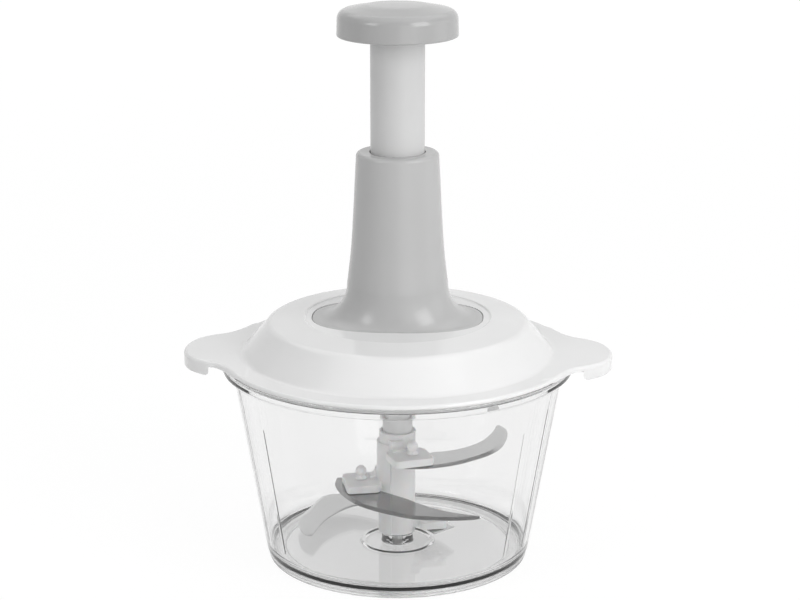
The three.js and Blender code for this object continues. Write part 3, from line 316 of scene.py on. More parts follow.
def bar_outline(side, half_width, start, end):
    """The plan of a bar along Y on one side, its points always in the same turning sense."""
    outline = [(-half_width, side * start), (half_width, side * start),
               (half_width, side * end), (-half_width, side * end)]
    return outline[::side]


def polar(radius, degrees):
    a = math.radians(degrees)
    return np.array([radius * math.cos(a), radius * math.sin(a)])


def spline(points, count):
    """Points on a curve through the given ones, evenly spread over its parts."""
    p = [np.array(q, float) for q in points]
    last = len(p) - 1
    out = []
    for k in range(count + 1):
        place = last * k / count
        i = min(int(place), last - 1)
        w = place - i
        p0, p1, p2, p3 = p[max(i - 1, 0)], p[i], p[i + 1], p[min(i + 2, last)]
        v0, v1 = (p2 - p0) / 2, (p3 - p1) / 2
        out.append((2 * p1 - 2 * p2 + v0 + v1) * w ** 3
                   + (-3 * p1 + 3 * p2 - 2 * v0 - v1) * w ** 2 + v0 * w + p1)
    return out


def even(points, count):
    """The same curve with points at even distances."""
    fine = np.array(points)
    lengths = np.concatenate([[0], np.cumsum(np.linalg.norm(np.diff(fine, axis=0), axis=1))])
    wanted = np.linspace(0, lengths[-1], count + 1)
    return [np.array([np.interp(s, lengths, fine[:, c]) for c in range(fine.shape[1])])
            for s in wanted]


# Materials

def empty_tree(owner, output_kind):
    """The node tree of a material or a world with only its output in it."""
    owner.use_nodes = True
    tree = owner.node_tree
    tree.nodes.clear()
    return tree, tree.nodes.new(output_kind)


def principled(name):
    """A new material with its tree and its one shader."""
    material = bpy.data.materials.new(name)
    tree, out = empty_tree(material, "ShaderNodeOutputMaterial")
    shader = tree.nodes.new("ShaderNodeBsdfPrincipled")
    tree.links.new(shader.outputs[0], out.inputs["Surface"])
    return material, tree, shader


def node(tree, kind, **values):
    """A new node with values for its sockets or its properties."""
    n = tree.nodes.new(kind)
    for key, value in values.items():
        if key in n.inputs:
            n.inputs[key].default_value = value
        else:
            setattr(n, key, value)
    return n


def placed_noise(tree, scale, detail, stretch=(1, 1, 1)):
    """Noise in the object's own coordinates."""
    coordinates = tree.nodes.new("ShaderNodeTexCoord")
    mapping = node(tree, "ShaderNodeMapping", Scale=stretch)
    noise = node(tree, "ShaderNodeTexNoise", Scale=scale, Detail=detail)
    tree.links.new(coordinates.outputs["Object"], mapping.inputs["Vector"])
    tree.links.new(mapping.outputs[0], noise.inputs["Vector"])
    return noise.outputs["Fac"]


def ranged(tree, source, low, high, from_low=0.3, from_high=0.7):
    """A value between low and high, as the source goes from from_low to from_high."""
    m = tree.nodes.new("ShaderNodeMapRange")
    m.inputs["From Min"].default_value = from_low
    m.inputs["From Max"].default_value = from_high
    m.inputs["To Min"].default_value = low
    m.inputs["To Max"].default_value = high
    tree.links.new(source, m.inputs["Value"])
    return m.outputs["Result"]


def blended(tree, factor, first, second):
    """A mix of two colours, whose sockets are the seventh and the eighth of the node."""
    m = tree.nodes.new("ShaderNodeMix")
    m.data_type = "RGBA"
    m.inputs[6].default_value = (*first, 1)
    m.inputs[7].default_value = (*second, 1)
    tree.links.new(factor, m.inputs[0])
    return m.outputs[2]


def rough_skin(tree, shader, source, strength, depth):
    """Bump from a source, its depth in metres."""
    bump = node(tree, "ShaderNodeBump", Strength=strength, Distance=depth)
    tree.links.new(source, bump.inputs["Height"])
    tree.links.new(bump.outputs[0], shader.inputs["Normal"])


def tone(value):
    """A neutral grey."""
    return (value, value, value)


def plastic(name, low, high, rough, *, spread=0.04, mottle=60, texture=2500, relief=0.02,
            scattering=0.0):
    """Moulded plastic: faint flow marks in its colour, uneven gloss and a fine skin."""
    material, tree, shader = principled(name)
    flow = placed_noise(tree, mottle, 2.0)
    tree.links.new(blended(tree, ranged(tree, flow, 0, 1), low, high),
                   shader.inputs["Base Color"])
    wear = placed_noise(tree, mottle * 6, 4.0)
    tree.links.new(ranged(tree, wear, rough - spread, rough + spread),
                   shader.inputs["Roughness"])
    rough_skin(tree, shader, placed_noise(tree, texture, 2.0), relief, 0.0001)
    shader.inputs["Subsurface Weight"].default_value = scattering
    if scattering:
        shader.inputs["Subsurface Scale"].default_value = 0.002
    return material


def metal(name, low, high, rough, *, spread=0.06, stretch=(1, 1, 1), scale=900, relief=0.05):
    """Steel with drawn or ground lines along one direction."""
    material, tree, shader = principled(name)
    lines = placed_noise(tree, scale, 3.0, stretch)
    cloud = placed_noise(tree, 90, 3.0)
    tree.links.new(blended(tree, ranged(tree, cloud, 0, 1), low, high),
                   shader.inputs["Base Color"])
    tree.links.new(ranged(tree, lines, rough - spread, rough + spread),
                   shader.inputs["Roughness"])
    rough_skin(tree, shader, lines, relief, 0.0001)
    shader.inputs["Metallic"].default_value = 1.0
    return material


def clear(name, low, high, rough, ior, *, spread=0.01, relief=0.01):
    """Clear moulded material with faint flow lines in its skin."""
    material, tree, shader = principled(name)
    flow = placed_noise(tree, 35, 2.0, (1, 1, 0.25))
    tree.links.new(blended(tree, ranged(tree, flow, 0, 1), low, high),
                   shader.inputs["Base Color"])
    wear = placed_noise(tree, 220, 3.0)
    tree.links.new(ranged(tree, wear, rough - spread, rough + spread),
                   shader.inputs["Roughness"])
    rough_skin(tree, shader, flow, relief, 0.0002)
    shader.inputs["Transmission Weight"].default_value = 1.0
    shader.inputs["IOR"].default_value = ior
    return material


white_gloss = plastic("white_gloss", tone(0.80), tone(0.83), 0.13, mottle=25, relief=0.01)
white_satin = plastic("white_satin", tone(0.74), tone(0.78), 0.32)
hub_satin = plastic("hub_satin", tone(0.88), tone(0.91), 0.34, scattering=0.1)
grey_gloss = plastic("grey_gloss", tone(0.46), tone(0.475), 0.24, spread=0.01, mottle=12,
                     relief=0.003)
knob_gloss = plastic("knob_gloss", tone(0.395), tone(0.41), 0.17, mottle=30, relief=0.015)
tube_satin = plastic("tube_satin", tone(0.60), tone(0.62), 0.36, mottle=40)
spindle_grey = plastic("spindle_grey", tone(0.74), tone(0.77), 0.35)
seal_soft = plastic("seal_soft", tone(0.66), tone(0.70), 0.55, texture=1200, relief=0.05)
blade_steel = metal("blade_steel", tone(0.53), tone(0.55), 0.16, spread=0.01, scale=500,
                    relief=0.002)
# Steel for the middle blade, darker than the other blades only as painted shade: it stands in for
# the darker surroundings its face reflects.
painted_shade_steel = metal("painted_shade_steel", tone(0.265), tone(0.295), 0.16, spread=0.01, scale=500,
                     relief=0.002)
machined = metal("machined", tone(0.46), tone(0.52), 0.34, stretch=(0.3, 0.3, 1), relief=0.02)
spring_wire = metal("spring_wire", tone(0.40), tone(0.46), 0.38)
bowl_clear = clear("bowl_clear", tone(0.93), tone(0.945), 0.015, 1.49)
foot_clear = clear("foot_clear", tone(0.90), tone(0.93), 0.12, 1.42, spread=0.04, relief=0.03)


# Bowl

def outer_wall(height):
    return bowl_radius + wall_lean * height


def inner_wall(height):
    return outer_wall(height) - wall_thickness


def wall_rib(angle, top):
    """A low rib on the inside of the wall, which runs out softly on all sides."""
    bottom, half_width, depth, root = 12, 1.5, 0.1, 1
    lean = math.atan(wall_lean)
    length = (top - bottom) / math.cos(lean)
    middle_z = (bottom + top) / 2
    middle_r = inner_wall(middle_z)
    rows, columns = 60, 12
    rings = []
    for row in range(rows + 1):
        along = (row / rows - 0.5) * (length + 2 * half_width)
        past = max(0.0, abs(along) - length / 2) / half_width
        front, back = [], []
        for column in range(columns + 1):
            across = (column / columns * 2 - 1) * half_width
            away = min(1.0, math.hypot(across / half_width, past))
            out = depth * (0.5 + 0.5 * math.cos(math.pi * away))
            r = middle_r + math.sin(lean) * along - math.cos(lean) * out
            z = middle_z + math.cos(lean) * along + math.sin(lean) * out
            bend = math.sqrt(max(r * r - across * across, 0)) - r
            front.append((r + bend, across, z))
            back.append((r + bend + root, across, z))
        rings.append(front + back[::-1])
    return spin(loft("rib", rings), angle)


def lug(side):
    """A small tab on the rim, which an ear of the lid covers."""
    inner, outer, half_width, thickness = rim_radius - 1.2, 93, 12, 3.6
    outline = rounded([[inner, -half_width], [outer, -half_width, 3], [outer, half_width, 3],
                       [inner, half_width]])
    top = rim_top - running_gap
    return spin(slab("lug", outline, top - thickness, top, edge=0.5), side)


def build_bowl():
    """The bowl with its rim band, foot step, floor bead, post for the pin, ribs and lugs."""
    recess = foot_step_radius - foot_step_width
    rim_foot, post, bore, bore_bottom = 80.3, 7.8, 2.8, 3.3
    bead_top = floor_top + 0.4
    body = lathe("bowl_wall", [
        [0, floor_bottom], [recess, floor_bottom, 0.4], [recess, foot_step_bottom, 0.3],
        [foot_step_radius, foot_step_bottom, 0.4], [foot_step_radius, foot_step_top, 0.3],
        [outer_wall(foot_step_top), foot_step_top, 0.4], [rim_foot, rim_bottom, 0.8],
        [rim_radius, rim_bottom, 0.9], [rim_radius, rim_top, 0.7], [rim_bore, rim_top, 0.5],
        [rim_bore, shoulder_top, 0.4], [inner_wall(shoulder_top), shoulder_top, 0.7],
        [inner_wall(floor_top), floor_top, 5], [18.6, floor_top, 1.2], [17.3, bead_top, 0.8],
        [16.5, bead_top, 0.8], [15.2, floor_top, 1.2], [post, floor_top, 0.4],
        [post, post_top, 0.6], [bore, post_top, 0.2], [bore, bore_bottom], [0, bore_bottom],
    ], sides=192)
    ribs = []
    for angle, top in ((20, 82), (36, 76)):
        for place in (angle, -angle, 180 - angle, 180 + angle):
            ribs.append(wall_rib(place, top))
    return join(body, lug(0), lug(180), *ribs)


def build_foot():
    """The soft ring that grips the step under the bowl."""
    inner, step = foot_step_radius - foot_step_width, foot_step_radius + seat_gap
    floor, top = foot_step_bottom - seat_gap, foot_step_top - seat_gap
    return lathe("foot", [
        [inner, 0, 0.3], [foot_radius, 0, 0.6], [foot_radius + top * wall_lean, top, 0.3],
        [step, top, 0.2], [step, floor, 0.2], [inner, floor, 0.3],
    ], sides=192, closed=True, steps=3)


dress(build_bowl(), "bowl_shell", "bowl", "bowl", bowl_clear, 30)
dress(build_foot(), "soft_foot", "bowl", "foot_ring", foot_clear)


# Blade hub, blades and stakes

# Each blade's platform rises so far over the hub's bottom. Its edges are shares of its reach, and
# its bend is a bearing, the distance where it starts and its slope.
blades = {
    "upper": dict(
        rise=45.5, angle=289, along=18, across=1.4, ball=True, reach=62, bend=(0, 16, 0.06),
        outer=[[-0.02, -0.33], [0.07, -0.38], [0.23, -0.38], [0.42, -0.34], [0.56, -0.27],
               [0.71, -0.16], [0.81, -0.03], [0.865, 0.13], [0.893, 0.29], [0.892, 0.42],
               [0.865, 0.5]],
        inner=[[-0.05, -0.22], [0.05, -0.18], [0.17, -0.09], [0.28, -0.04], [0.38, -0.03],
               [0.52, 0.02], [0.67, 0.15], [0.77, 0.35], [0.812, 0.51]]),
    "middle": dict(
        rise=27.5, angle=190, along=18, across=-1.2, ball=True, reach=57.6, bend=(0, 0, 0),
        outer=[[-0.54, 0.05], [-0.515, -0.08], [-0.45, -0.25], [-0.35, -0.42], [-0.22, -0.55],
               [-0.06, -0.66], [0.14, -0.76], [0.4, -0.79], [0.6, -0.775], [0.685, -0.74]],
        inner=[[-0.52, 0.18], [-0.28, 0.19], [-0.19, 0.06], [-0.17, -0.1], [-0.05, -0.22],
               [0.07, -0.32], [0.15, -0.405], [0.23, -0.485], [0.35, -0.585], [0.52, -0.67],
               [0.685, -0.725]]),
    "lower": dict(
        rise=6.4, angle=9, along=17, across=0, ball=False, reach=60, bend=(180, 12, -0.06),
        outer=[[0.475, -0.01], [0.385, 0.17], [0.23, 0.35], [0.07, 0.53], [-0.13, 0.67],
               [-0.33, 0.765], [-0.51, 0.8], [-0.63, 0.775], [-0.69, 0.67], [-0.75, 0.5],
               [-0.83, 0.29], [-0.835, 0.19], [-0.81, 0.02], [-0.77, -0.09], [-0.735, -0.13]],
        inner=[[0.3, -0.175], [0.19, 0.01], [0.145, 0.15], [0.02, 0.28], [-0.14, 0.41],
               [-0.32, 0.49], [-0.47, 0.39], [-0.58, 0.23], [-0.63, 0.12], [-0.67, -0.02],
               [-0.7, -0.13]]),
}


def on_platform(blade, along, across):
    """The place of a point on a blade's platform."""
    d = polar(1, blade["angle"])
    return d * along + np.array([-d[1], d[0]]) * across


def blade_height(blade, x, y):
    """The height of a blade's upper face."""
    flat = hub_bottom + blade["rise"] - platform_thickness - seat_gap
    angle, start, slope = blade["bend"]
    d = polar(1, angle)
    return flat + slope * max(0.0, x * d[0] + y * d[1] - start)


def build_blade(key):
    """A sickle with its outer edge ground and its back rounded."""
    blade = blades[key]
    stations, ground_width, back_radius, edge_thickness = 110, 2.4, 0.25, 0.2
    outer, inner = (even(spline([np.array(p) * blade["reach"] for p in blade[side]], 400),
                         stations) for side in ("outer", "inner"))
    rings = []
    for edge, back in zip(outer, inner):
        width = np.linalg.norm(edge - back)
        ground = edge + (back - edge) * (min(ground_width, width / 2) / width)
        soft = min(back_radius, width / 8)
        inside = back + (edge - back) * (soft / width)

        def at(p, drop):
            return (p[0], p[1], blade_height(blade, *p) - drop)

        rings.append([
            at(edge, blade_thickness - edge_thickness), at(edge, blade_thickness),
            at((edge + back) / 2, blade_thickness),
            at(inside, blade_thickness), at(back, blade_thickness - soft),
            at(back, soft), at(inside, 0), at(ground * 0.35 + back * 0.65, 0),
            at(ground, 0),
        ])
    top = hub_bottom + blade["rise"]
    holes = []
    for radius, place in ((stake_hole, on_platform(blade, blade["along"], blade["across"])),
                          (1.5, on_platform(blade, *peg_spot))):
        holes.append(rod(radius, top - platform_thickness - 2, top, 32, *place))
    return spin(cut(loft("blade", rings), *holes), blades_angle)


def platform(key):
    """A blade's platform with its web to the hub, its peg and the hole for its stake."""
    blade = blades[key]
    top = hub_bottom + blade["rise"]
    pad_end = 26.4 if blade["ball"] else 23.4
    neck_end, neck_half, pad_half = 10, 5.5, 10
    outline = rounded([
        [0, -neck_half], [neck_end, -neck_half, 1.2], [neck_end, -pad_half, 2.4],
        [pad_end, -pad_half, 2.4], [pad_end, pad_half, 2.4], [neck_end, pad_half, 2.4],
        [neck_end, neck_half, 1.2], [0, neck_half],
    ], steps=6)
    pad = slab("pad", outline, top - platform_thickness, top, edge=0.5, foot_edge=0.3)
    web_start, web_end, web_top, web_shoulder = 4.4, 13.5, top + 4.4, 10.2
    profile = rounded([
        [web_start, top - 0.3], [web_end, top - 0.3], [web_end, top + 0.8, 0.1],
        [web_shoulder, top + 0.8, 2.9], [web_shoulder, web_top, 0.3], [web_start, web_top],
    ])
    web = loft("web", [[(x, y, z) for x, z in profile] for y in (-6.8, -0.6)])
    pad = spin(join(pad, web), blade["angle"])
    peg = rod(1.2, top - platform_thickness - seat_gap - blade_thickness,
              top - platform_thickness / 2, 24, *on_platform(blade, *peg_spot))
    hole = rod(stake_hole, top - platform_thickness - 1, top + 1, 32,
               *on_platform(blade, blade["along"], blade["across"]))
    return cut(join(pad, peg), hole)


def hub_sector(radius, bottom, top):
    """The thicker front of the hub."""
    start, sweep, steps = 100, 150, 60
    outline = [polar(radius, start + sweep * i / steps) for i in range(steps + 1)]
    outline.append(np.array([0.0, 0.0]))
    return loft("sector", [[(x, y, z) for x, y in outline] for z in (bottom, top)])


def build_hub():
    """The hub with its platforms, a bore for the pivot pin and a socket for the spindle."""
    radius, collar_radius, collar = 8.8, 9, hub_top - collar_depth
    sector_step, sector_top = hub_bottom + 24, hub_bottom + 47
    body = lathe("hub", [
        [0, hub_bottom], [radius, hub_bottom, 0.3], [radius, collar],
        [collar_radius, collar, 0.15], [collar_radius, hub_top, 0.4], [0, hub_top],
    ], sides=96)
    body = join(body, hub_sector(9.3, hub_bottom, sector_step),
                hub_sector(10.2, sector_step, sector_top), *[platform(key) for key in blades])
    pin_bore = rod(2.9, hub_bottom - 1, 33, 40)
    hex_socket = rod(6.9, hub_top - socket_depth, hub_top, 6)
    collar_bore = rod(7.7, collar, hub_top + 1, 64)
    return spin(cut(body, pin_bore, hex_socket, collar_bore), blades_angle)


def build_stake(key):
    """A pin with a flat head under the blade and a round or a flat one over the platform."""
    blade = blades[key]
    top = hub_bottom + blade["rise"]
    head = top - platform_thickness - blade_thickness - 2 * seat_gap
    shank, flat_head, collar, neck, head_thickness = 1.6, 3, 3.2, 2.0, 1.3
    corners = [
        [0, head - head_thickness], [flat_head, head - head_thickness, 0.4],
        [flat_head, head, 0.2], [shank, head], [shank, top + seat_gap],
        [collar, top + seat_gap, 0.3],
    ]
    if blade["ball"]:
        ball_radius, ball_middle, steps = 2.7, top + 4.2, 24
        corners.append([neck, top + 2.2, 0.2])
        for i in range(steps + 1):
            a = math.radians(-45 + 135 * i / steps)
            corners.append([ball_radius * math.cos(a) if i < steps else 0,
                            ball_middle + ball_radius * math.sin(a)])
    else:
        corners += [[neck, top + head_thickness, 0.2], [0, top + head_thickness]]
    stake = lathe("stake", corners, sides=40, steps=3)
    return spin(move(stake, *on_platform(blade, blade["along"], blade["across"])), blades_angle)


dress(build_hub(), "hub_body", "blades", "blade_hub", hub_satin)
for number, key in enumerate(blades, 1):
    # The middle blade gets the darker steel, a painted shade in place of what its face reflects.
    steel = painted_shade_steel if key == "middle" else blade_steel
    dress(build_blade(key), key + "_sickle", "blades", key + "_blade", steel, 9)
    dress(build_stake(key), "stake_%d" % number, "blades", "blade_stake_%d" % number,
          hub_satin)


# Lid

base_places = [polar(55, 360 * (i + 0.5) / 4) for i in range(4)]
tower_places = [np.array([x, y]) for x in (26, -26) for y in (10, -10)]


def superellipse(half_x, half_y, power):
    """An oval, round with a power of two and squarer with a larger one."""
    out = []
    count = 144
    for i in range(count):
        a = 2 * math.pi * i / count
        c, s = math.cos(a), math.sin(a)
        out.append((half_x * math.copysign(abs(c) ** (2 / power), c),
                    half_y * math.copysign(abs(s) ** (2 / power), s)))
    return out


def ear_outline(share):
    """An ear's plan outline, shrunk by a share towards its own middle."""
    centre = 0.73 * ear_reach
    shares = [[1, 0], [0.99, 0.077], [0.955, 0.154], [0.89, 0.213], [0.832, 0.245],
              [0.79, 0.288], [0.755, 0.343], [0.72, 0.404], [0.66, 0.44]]
    upper = [(centre + (x * ear_reach - centre) * share, y * ear_reach * share)
             for x, y in shares]
    upper = upper[::-1]
    mirrored = [(x, -y) for x, y in upper[:-1]][::-1]
    return [tuple(p) for p in spline(upper + mirrored, 80)]


def distance_inside(outline, points):
    """How far points lie inside a closed outline, less than nothing when outside."""
    start = np.array(outline, float)
    step = np.roll(start, -1, 0) - start
    best = np.full(len(points), np.inf)
    inside = np.zeros(len(points), bool)
    for p, d in zip(start, step):
        share = np.clip(((points - p) @ d) / (d @ d), 0, 1)
        best = np.minimum(best, np.linalg.norm(points - p - share[:, None] * d, axis=1))
        if d[1] != 0:
            rise = (points[:, 1] - p[1]) / d[1]
            inside ^= (rise >= 0) & (rise < 1) & (points[:, 0] < p[0] + rise * d[0])
    return np.where(inside, best, -best)


def softer(first, second, reach):
    """The larger of two, with a rounded change over."""
    return (first + second + np.sqrt((first - second) ** 2 + reach ** 2)) / 2


def lid_skin(inside, roof):
    """Lid turned about Z, its brim running out over both ears without a crease."""
    angles = list(np.arange(-36, 36, 0.4)) + list(np.arange(36, 144, 1.2))
    angles += [a + 180 for a in angles]
    outline = np.array(ear_outline(1))
    ledge_foot, ledge_head, ledge_rise, hole, hole_edge = 44.5, 45.3, 0.6, 17.5, 0.3
    line = np.array(rounded([
        [flange_x, crown_top], [ledge_foot, crown_top, 0.5],
        [ledge_head, crown_top + ledge_rise, 0.5], [slope_head, brim_top + slope_rise, 5],
        [slope_foot, brim_top + slope_lift, 3], [brim_radius, brim_top],
    ], steps=14))
    turn = np.radians(angles)
    middle = np.array([np.cos(turn), np.sin(turn)]).T
    folded = middle.copy()
    folded[:, 0] = np.abs(folded[:, 0])

    # How far the lid reaches at each angle, found by halving between two radii
    low, high = np.full(len(angles), 80.0), np.full(len(angles), 110.0)
    for _ in range(24):
        half = (low + high) / 2
        held = distance_inside(outline, folded * half[:, None]) > 0
        low, high = np.where(held, half, low), np.where(held, high, half)
    reach = np.maximum(brim_radius, low)
    rings = []

    def level(radius, height):
        rings.append([(radius * c, radius * t, height) for c, t in middle])

    def shaped(radii, heights):
        rings.append([(r * c, r * t, z) for r, (c, t), z in zip(radii, middle, heights)])

    chamfer = 0.4
    level(inside(roof), roof)
    level(inside(brim_bottom), brim_bottom)
    shaped(reach - chamfer, np.full(len(angles), brim_bottom))
    shaped(reach, np.full(len(angles), brim_bottom + chamfer))

    # The top from the rim inwards: close rings over the rounded edge, then even ones
    edge_width, edge_drop, blend_radius, evens, ear_rounding = 2.4, 1.1, 66, 30, 1.3
    shares = [0, 0.01, 0.03, 0.06, 0.1, 0.15, 0.22, 0.3, 0.4, 0.52, 0.66, 0.82]
    radii = [reach - edge_width * share for share in shares]
    radii += [(reach - edge_width) + (blend_radius - reach + edge_width) * (k / evens)
              for k in range(evens)]
    for radius in radii:
        from_rim = brim_radius - radius
        from_ear = distance_inside(outline, folded * radius[:, None])
        ear = brim_top + ear_rise * np.sqrt(np.clip(from_ear / ear_rounding, 0, 1))
        height = softer(np.interp(radius, line[:, 0], line[:, 1]), ear, 0.35) - 0.06
        depth = np.clip(softer(from_rim, from_ear, 0.4) - 0.1, 0, edge_drop)
        height = height - edge_drop + np.sqrt(edge_drop ** 2 - (edge_drop - depth) ** 2)
        shaped(radius, height)
    for radius, height in line[::-1]:
        if radius < blend_radius:
            level(radius, height)
    level(hole + hole_edge, crown_top)
    level(hole, crown_top - hole_edge)
    level(hole, crown_bottom)
    level(flange_x, crown_bottom)
    return loft("lid", rings + [rings[0]], ends=False)


def build_ear(side):
    """The skirt under an ear, which reaches up into the lid."""
    top = brim_top + ear_rise
    bottom = top - ear_depth
    outline = inset_outline(ear_outline(1)[::-1], 0.02)
    body = slab("ear", outline, bottom, brim_bottom + 1.2, foot_edge=0.8, steps=6)
    pocket = slab("pocket", ear_outline(0.92)[::-1], bottom - 1, top - wall_thickness)
    skirt, skirt_edge = 92.6, 2.4
    end = lathe("end", [
        [0, bottom - 1], [skirt + skirt_edge, bottom - 1], [skirt + skirt_edge, bottom],
        [skirt, bottom, skirt_edge - 0.01], [skirt, brim_bottom], [0, brim_bottom],
    ], sides=192)
    return spin(cut(body, pocket, end), side)


def build_lid():
    """The shell with its ears and screw posts, and the tower's recess with its screw holes."""
    slope = (slope_foot - slope_head) / (slope_rise - slope_lift)
    wall = wall_thickness * math.hypot(1, slope)

    def inside(height):
        return slope_foot - wall - slope * (height - brim_top - slope_lift)

    shell = lid_skin(inside, brim_top + slope_rise - wall_thickness)
    ears = [build_ear(side) for side in (0, 180)]
    posts = [rod(screw_post, brim_bottom, crown_bottom + 1.1, 32, *p) for p in base_places]
    outline = superellipse(flange_x + seat_gap, flange_y + seat_gap, flange_power)
    recess = slab("recess", outline, flange_bottom - seat_gap, crown_top + 1)
    pilots = [rod(screw_hole, brim_bottom - 1, crown_bottom, 24, *p) for p in base_places]
    through = [rod(screw_hole, crown_bottom - 1, crown_top + 1, 24, *p) for p in tower_places]
    return cut(join(shell, *ears, *posts), recess, *pilots, *through)


plate_middle = (base_plate_bottom + base_plate_top) / 2


def build_plate():
    """The plate that closes the lid, with a tongue for the seal."""
    inner, outer, tongue, half = 9.9, 78.6, 80, 0.45
    plate = lathe("plate", [
        [inner, base_plate_bottom, 0.2], [outer, base_plate_bottom, 0.3],
        [outer, plate_middle - half], [tongue, plate_middle - half],
        [tongue, plate_middle + half], [outer, plate_middle + half],
        [outer, base_plate_top, 0.2], [inner, base_plate_top],
    ], sides=160, closed=True, steps=3)
    return cut(plate, *[rod(screw_hole, base_plate_bottom - 1, base_plate_top + 1, 24, *p)
                        for p in base_places])


def build_seal():
    """The lip seal, with a groove for the plate's tongue."""
    inner, groove, lip, half = 78.9, 80.3, 82.3, 0.6
    bottom = shoulder_top + seat_gap
    return lathe("seal", [
        [inner, bottom, 0.1], [81.9, bottom, 0.2], [lip, plate_middle, 0.3],
        [81.9, base_plate_top, 0.2], [inner, base_plate_top, 0.1],
        [inner, plate_middle + half], [groove, plate_middle + half],
        [groove, plate_middle - half], [inner, plate_middle - half],
    ], sides=160, closed=True, steps=3)


dress(build_lid(), "lid_body", "lid", "lid_shell", white_gloss, 30)

dress(build_plate(), "lid_plate", "lid", "lid_base", white_satin)
dress(build_seal(), "lip_seal", "lid", "lid_seal", seal_soft)


# Tower

def tapered(share):
    """Half width of the tower's round upper part."""
    shares = [(0.0, 0.0), (0.25, 0.4), (0.5, 0.64), (0.75, 0.82), (1.0, 1.0)]
    curve = np.array(spline(shares, 200))
    return tower_foot + (tower_head - tower_foot) * float(
        np.interp(share, curve[:, 0], curve[:, 1]))


def ring3(half_x, half_y, power, height):
    """An oval at a height."""
    return [(x, y, height) for x, y in superellipse(half_x, half_y, power)]


def tower_rings(inset, foot, roof, flare=28, taper=36):
    """The tower's skin from its flared oval foot to its roof, moved in by an inset."""
    flare_top = flange_top + flare_height
    waist = tower_foot - inset
    foot_x, foot_y = tower_foot + flare_x - 2 * inset, tower_foot + flare_y - inset
    rings = []
    for i in range(flare, 0, -1):
        a = math.pi / 2 * i / flare
        spread = 1 - math.cos(a)
        power = 2 + (flange_power - 2) * spread
        rings.append(ring3(waist + (foot_x - waist) * spread, waist + (foot_y - waist) * spread,
                           power, flare_top + (foot - flare_top) * math.sin(a)))
    for i in range(taper + 1):
        share = i / taper
        half = tapered(share) - inset
        rings.append(ring3(half, half, 2, flare_top + (roof - flare_top) * share))
    return rings


def rounded_edge(half_x, half_y, power, top, radius, steps):
    """Rings over the rounded upper edge of an upright wall."""
    rings = []
    for k in range(1, steps + 1):
        a = math.pi / 2 * k / steps
        inset = radius * (1 - math.cos(a))
        rings.append(ring3(half_x - inset, half_y - inset, power,
                           top - radius + radius * math.sin(a)))
    return rings


def build_tower():
    """One closed skin, with guide ribs and screw posts let into its wall."""
    mouth, mouth_depth, mouth_edge = 13.4, 2.5, 2
    flange_edge, flange_shoulder = 0.4, flange_top - 0.3
    outside = [ring3(flange_x, flange_y, flange_power, height)
               for height in (flange_bottom, flange_shoulder - flange_edge)]
    outside += rounded_edge(flange_x, flange_y, flange_power, flange_shoulder, flange_edge, 4)
    outside += tower_rings(0, flange_top, tower_top - mouth_edge)
    outside += rounded_edge(tower_head, tower_head, 2, tower_top, mouth_edge, 12)
    outside += [ring3(mouth, mouth, 2, tower_top), ring3(mouth, mouth, 2, tower_top - mouth_depth)]
    inside = tower_rings(tower_wall, flange_bottom, tower_top - mouth_depth, 12, 12)
    shell = loft("tower", outside + inside[::-1] + [outside[0]], ends=False)

    # Ribs and posts end at the middle of the wall
    half_wall = tower_wall / 2
    in_wall = loft("limit", tower_rings(half_wall, flange_bottom, tower_top - half_wall, 12, 12))
    parts = []
    for side in (1, -1):
        rib = slab("guide", bar_outline(side, 1.5, 16.4, 21), tube_bottom - travel - 1, 185)
        parts.append(common(rib, twin(in_wall)))
    for place in tower_places:
        post = rod(screw_post, flange_bottom, flange_top + 5, 32, *place)
        post = common(post, twin(in_wall))
        parts.append(cut(post, rod(screw_hole, flange_bottom - 1, 123, 24, *place)))
    bpy.data.objects.remove(in_wall)
    return join(shell, *parts)


dress(build_tower(), "tower_body", "lid", "tower", grey_gloss, 35)


# Spindle

def build_spindle():
    """The shaft with its clip groove, its ratchet disc above and its hexagon below."""
    shaft, groove, disc_radius, disc_thickness = 7.3, 6.6, 11.8, 2.4
    shoulder = hub_top - collar_depth + running_gap
    bush_foot, bush_flange, clip_thickness = 2, 1.2, 0.9
    groove_top = base_plate_bottom - bush_foot - seat_gap
    groove_bottom = groove_top - clip_thickness - seat_gap
    disc = base_plate_top + seat_gap + bush_flange + seat_gap
    disc_top = disc + disc_thickness
    body = lathe("shaft", [
        [0, shoulder], [shaft, shoulder, 0.4], [shaft, groove_bottom, 0.2],
        [groove, groove_bottom], [groove, groove_top], [shaft, groove_top, 0.2], [shaft, disc],
        [disc_radius, disc, 0.3], [disc_radius, disc_top, 0.1], [0, disc_top],
    ], sides=96)
    hexagon = rod(6.5, hub_top - socket_depth + running_gap, shoulder + 1, 6)

    # Saw teeth: each rises along its share of the ring and drops at once
    inner, root, tooth_top, count = 5.9, disc + 1.4, disc + 3.8, 8
    rings = [[], [], [], []]
    for i in range(count):
        for share, height in ((i / count, disc_top), ((i + 0.94) / count, tooth_top)):
            x, y = polar(1, 360 * share - blades_angle)
            for ring, radius, z in zip(rings, (inner, disc_radius, disc_radius, inner),
                                       (root, root, height, height)):
                ring.append((x * radius, y * radius, z))
    teeth = loft("teeth", rings + [rings[0]], ends=False)
    return spin(join(body, hexagon, teeth), blades_angle)


dress(build_spindle(), "spindle_body", "spindle", "output_spindle",
      spindle_grey)


# Plunger and knob

def build_tube():
    """The tube, closed above, with a flange below that runs on the tower's guide ribs."""
    bore, outer, flange, roof = 10.9, 12.9, 17.2, tube_top - 2
    body = lathe("tube", [
        [0, roof], [bore, roof], [bore, tube_bottom], [flange, tube_bottom, 0.3],
        [flange, tube_flange_top, 0.3], [outer, tube_flange_top, 0.4], [outer, tube_top, 0.4],
        [0, tube_top],
    ], sides=112)
    tools = [rod(screw_hole, roof - 1, tube_top + 1, 24)]
    for side in (1, -1):
        tools.append(slab("notch", bar_outline(side, 1.9, 16, 21), tube_bottom - 1,
                          tube_flange_top + 1))
    return cut(body, *tools)


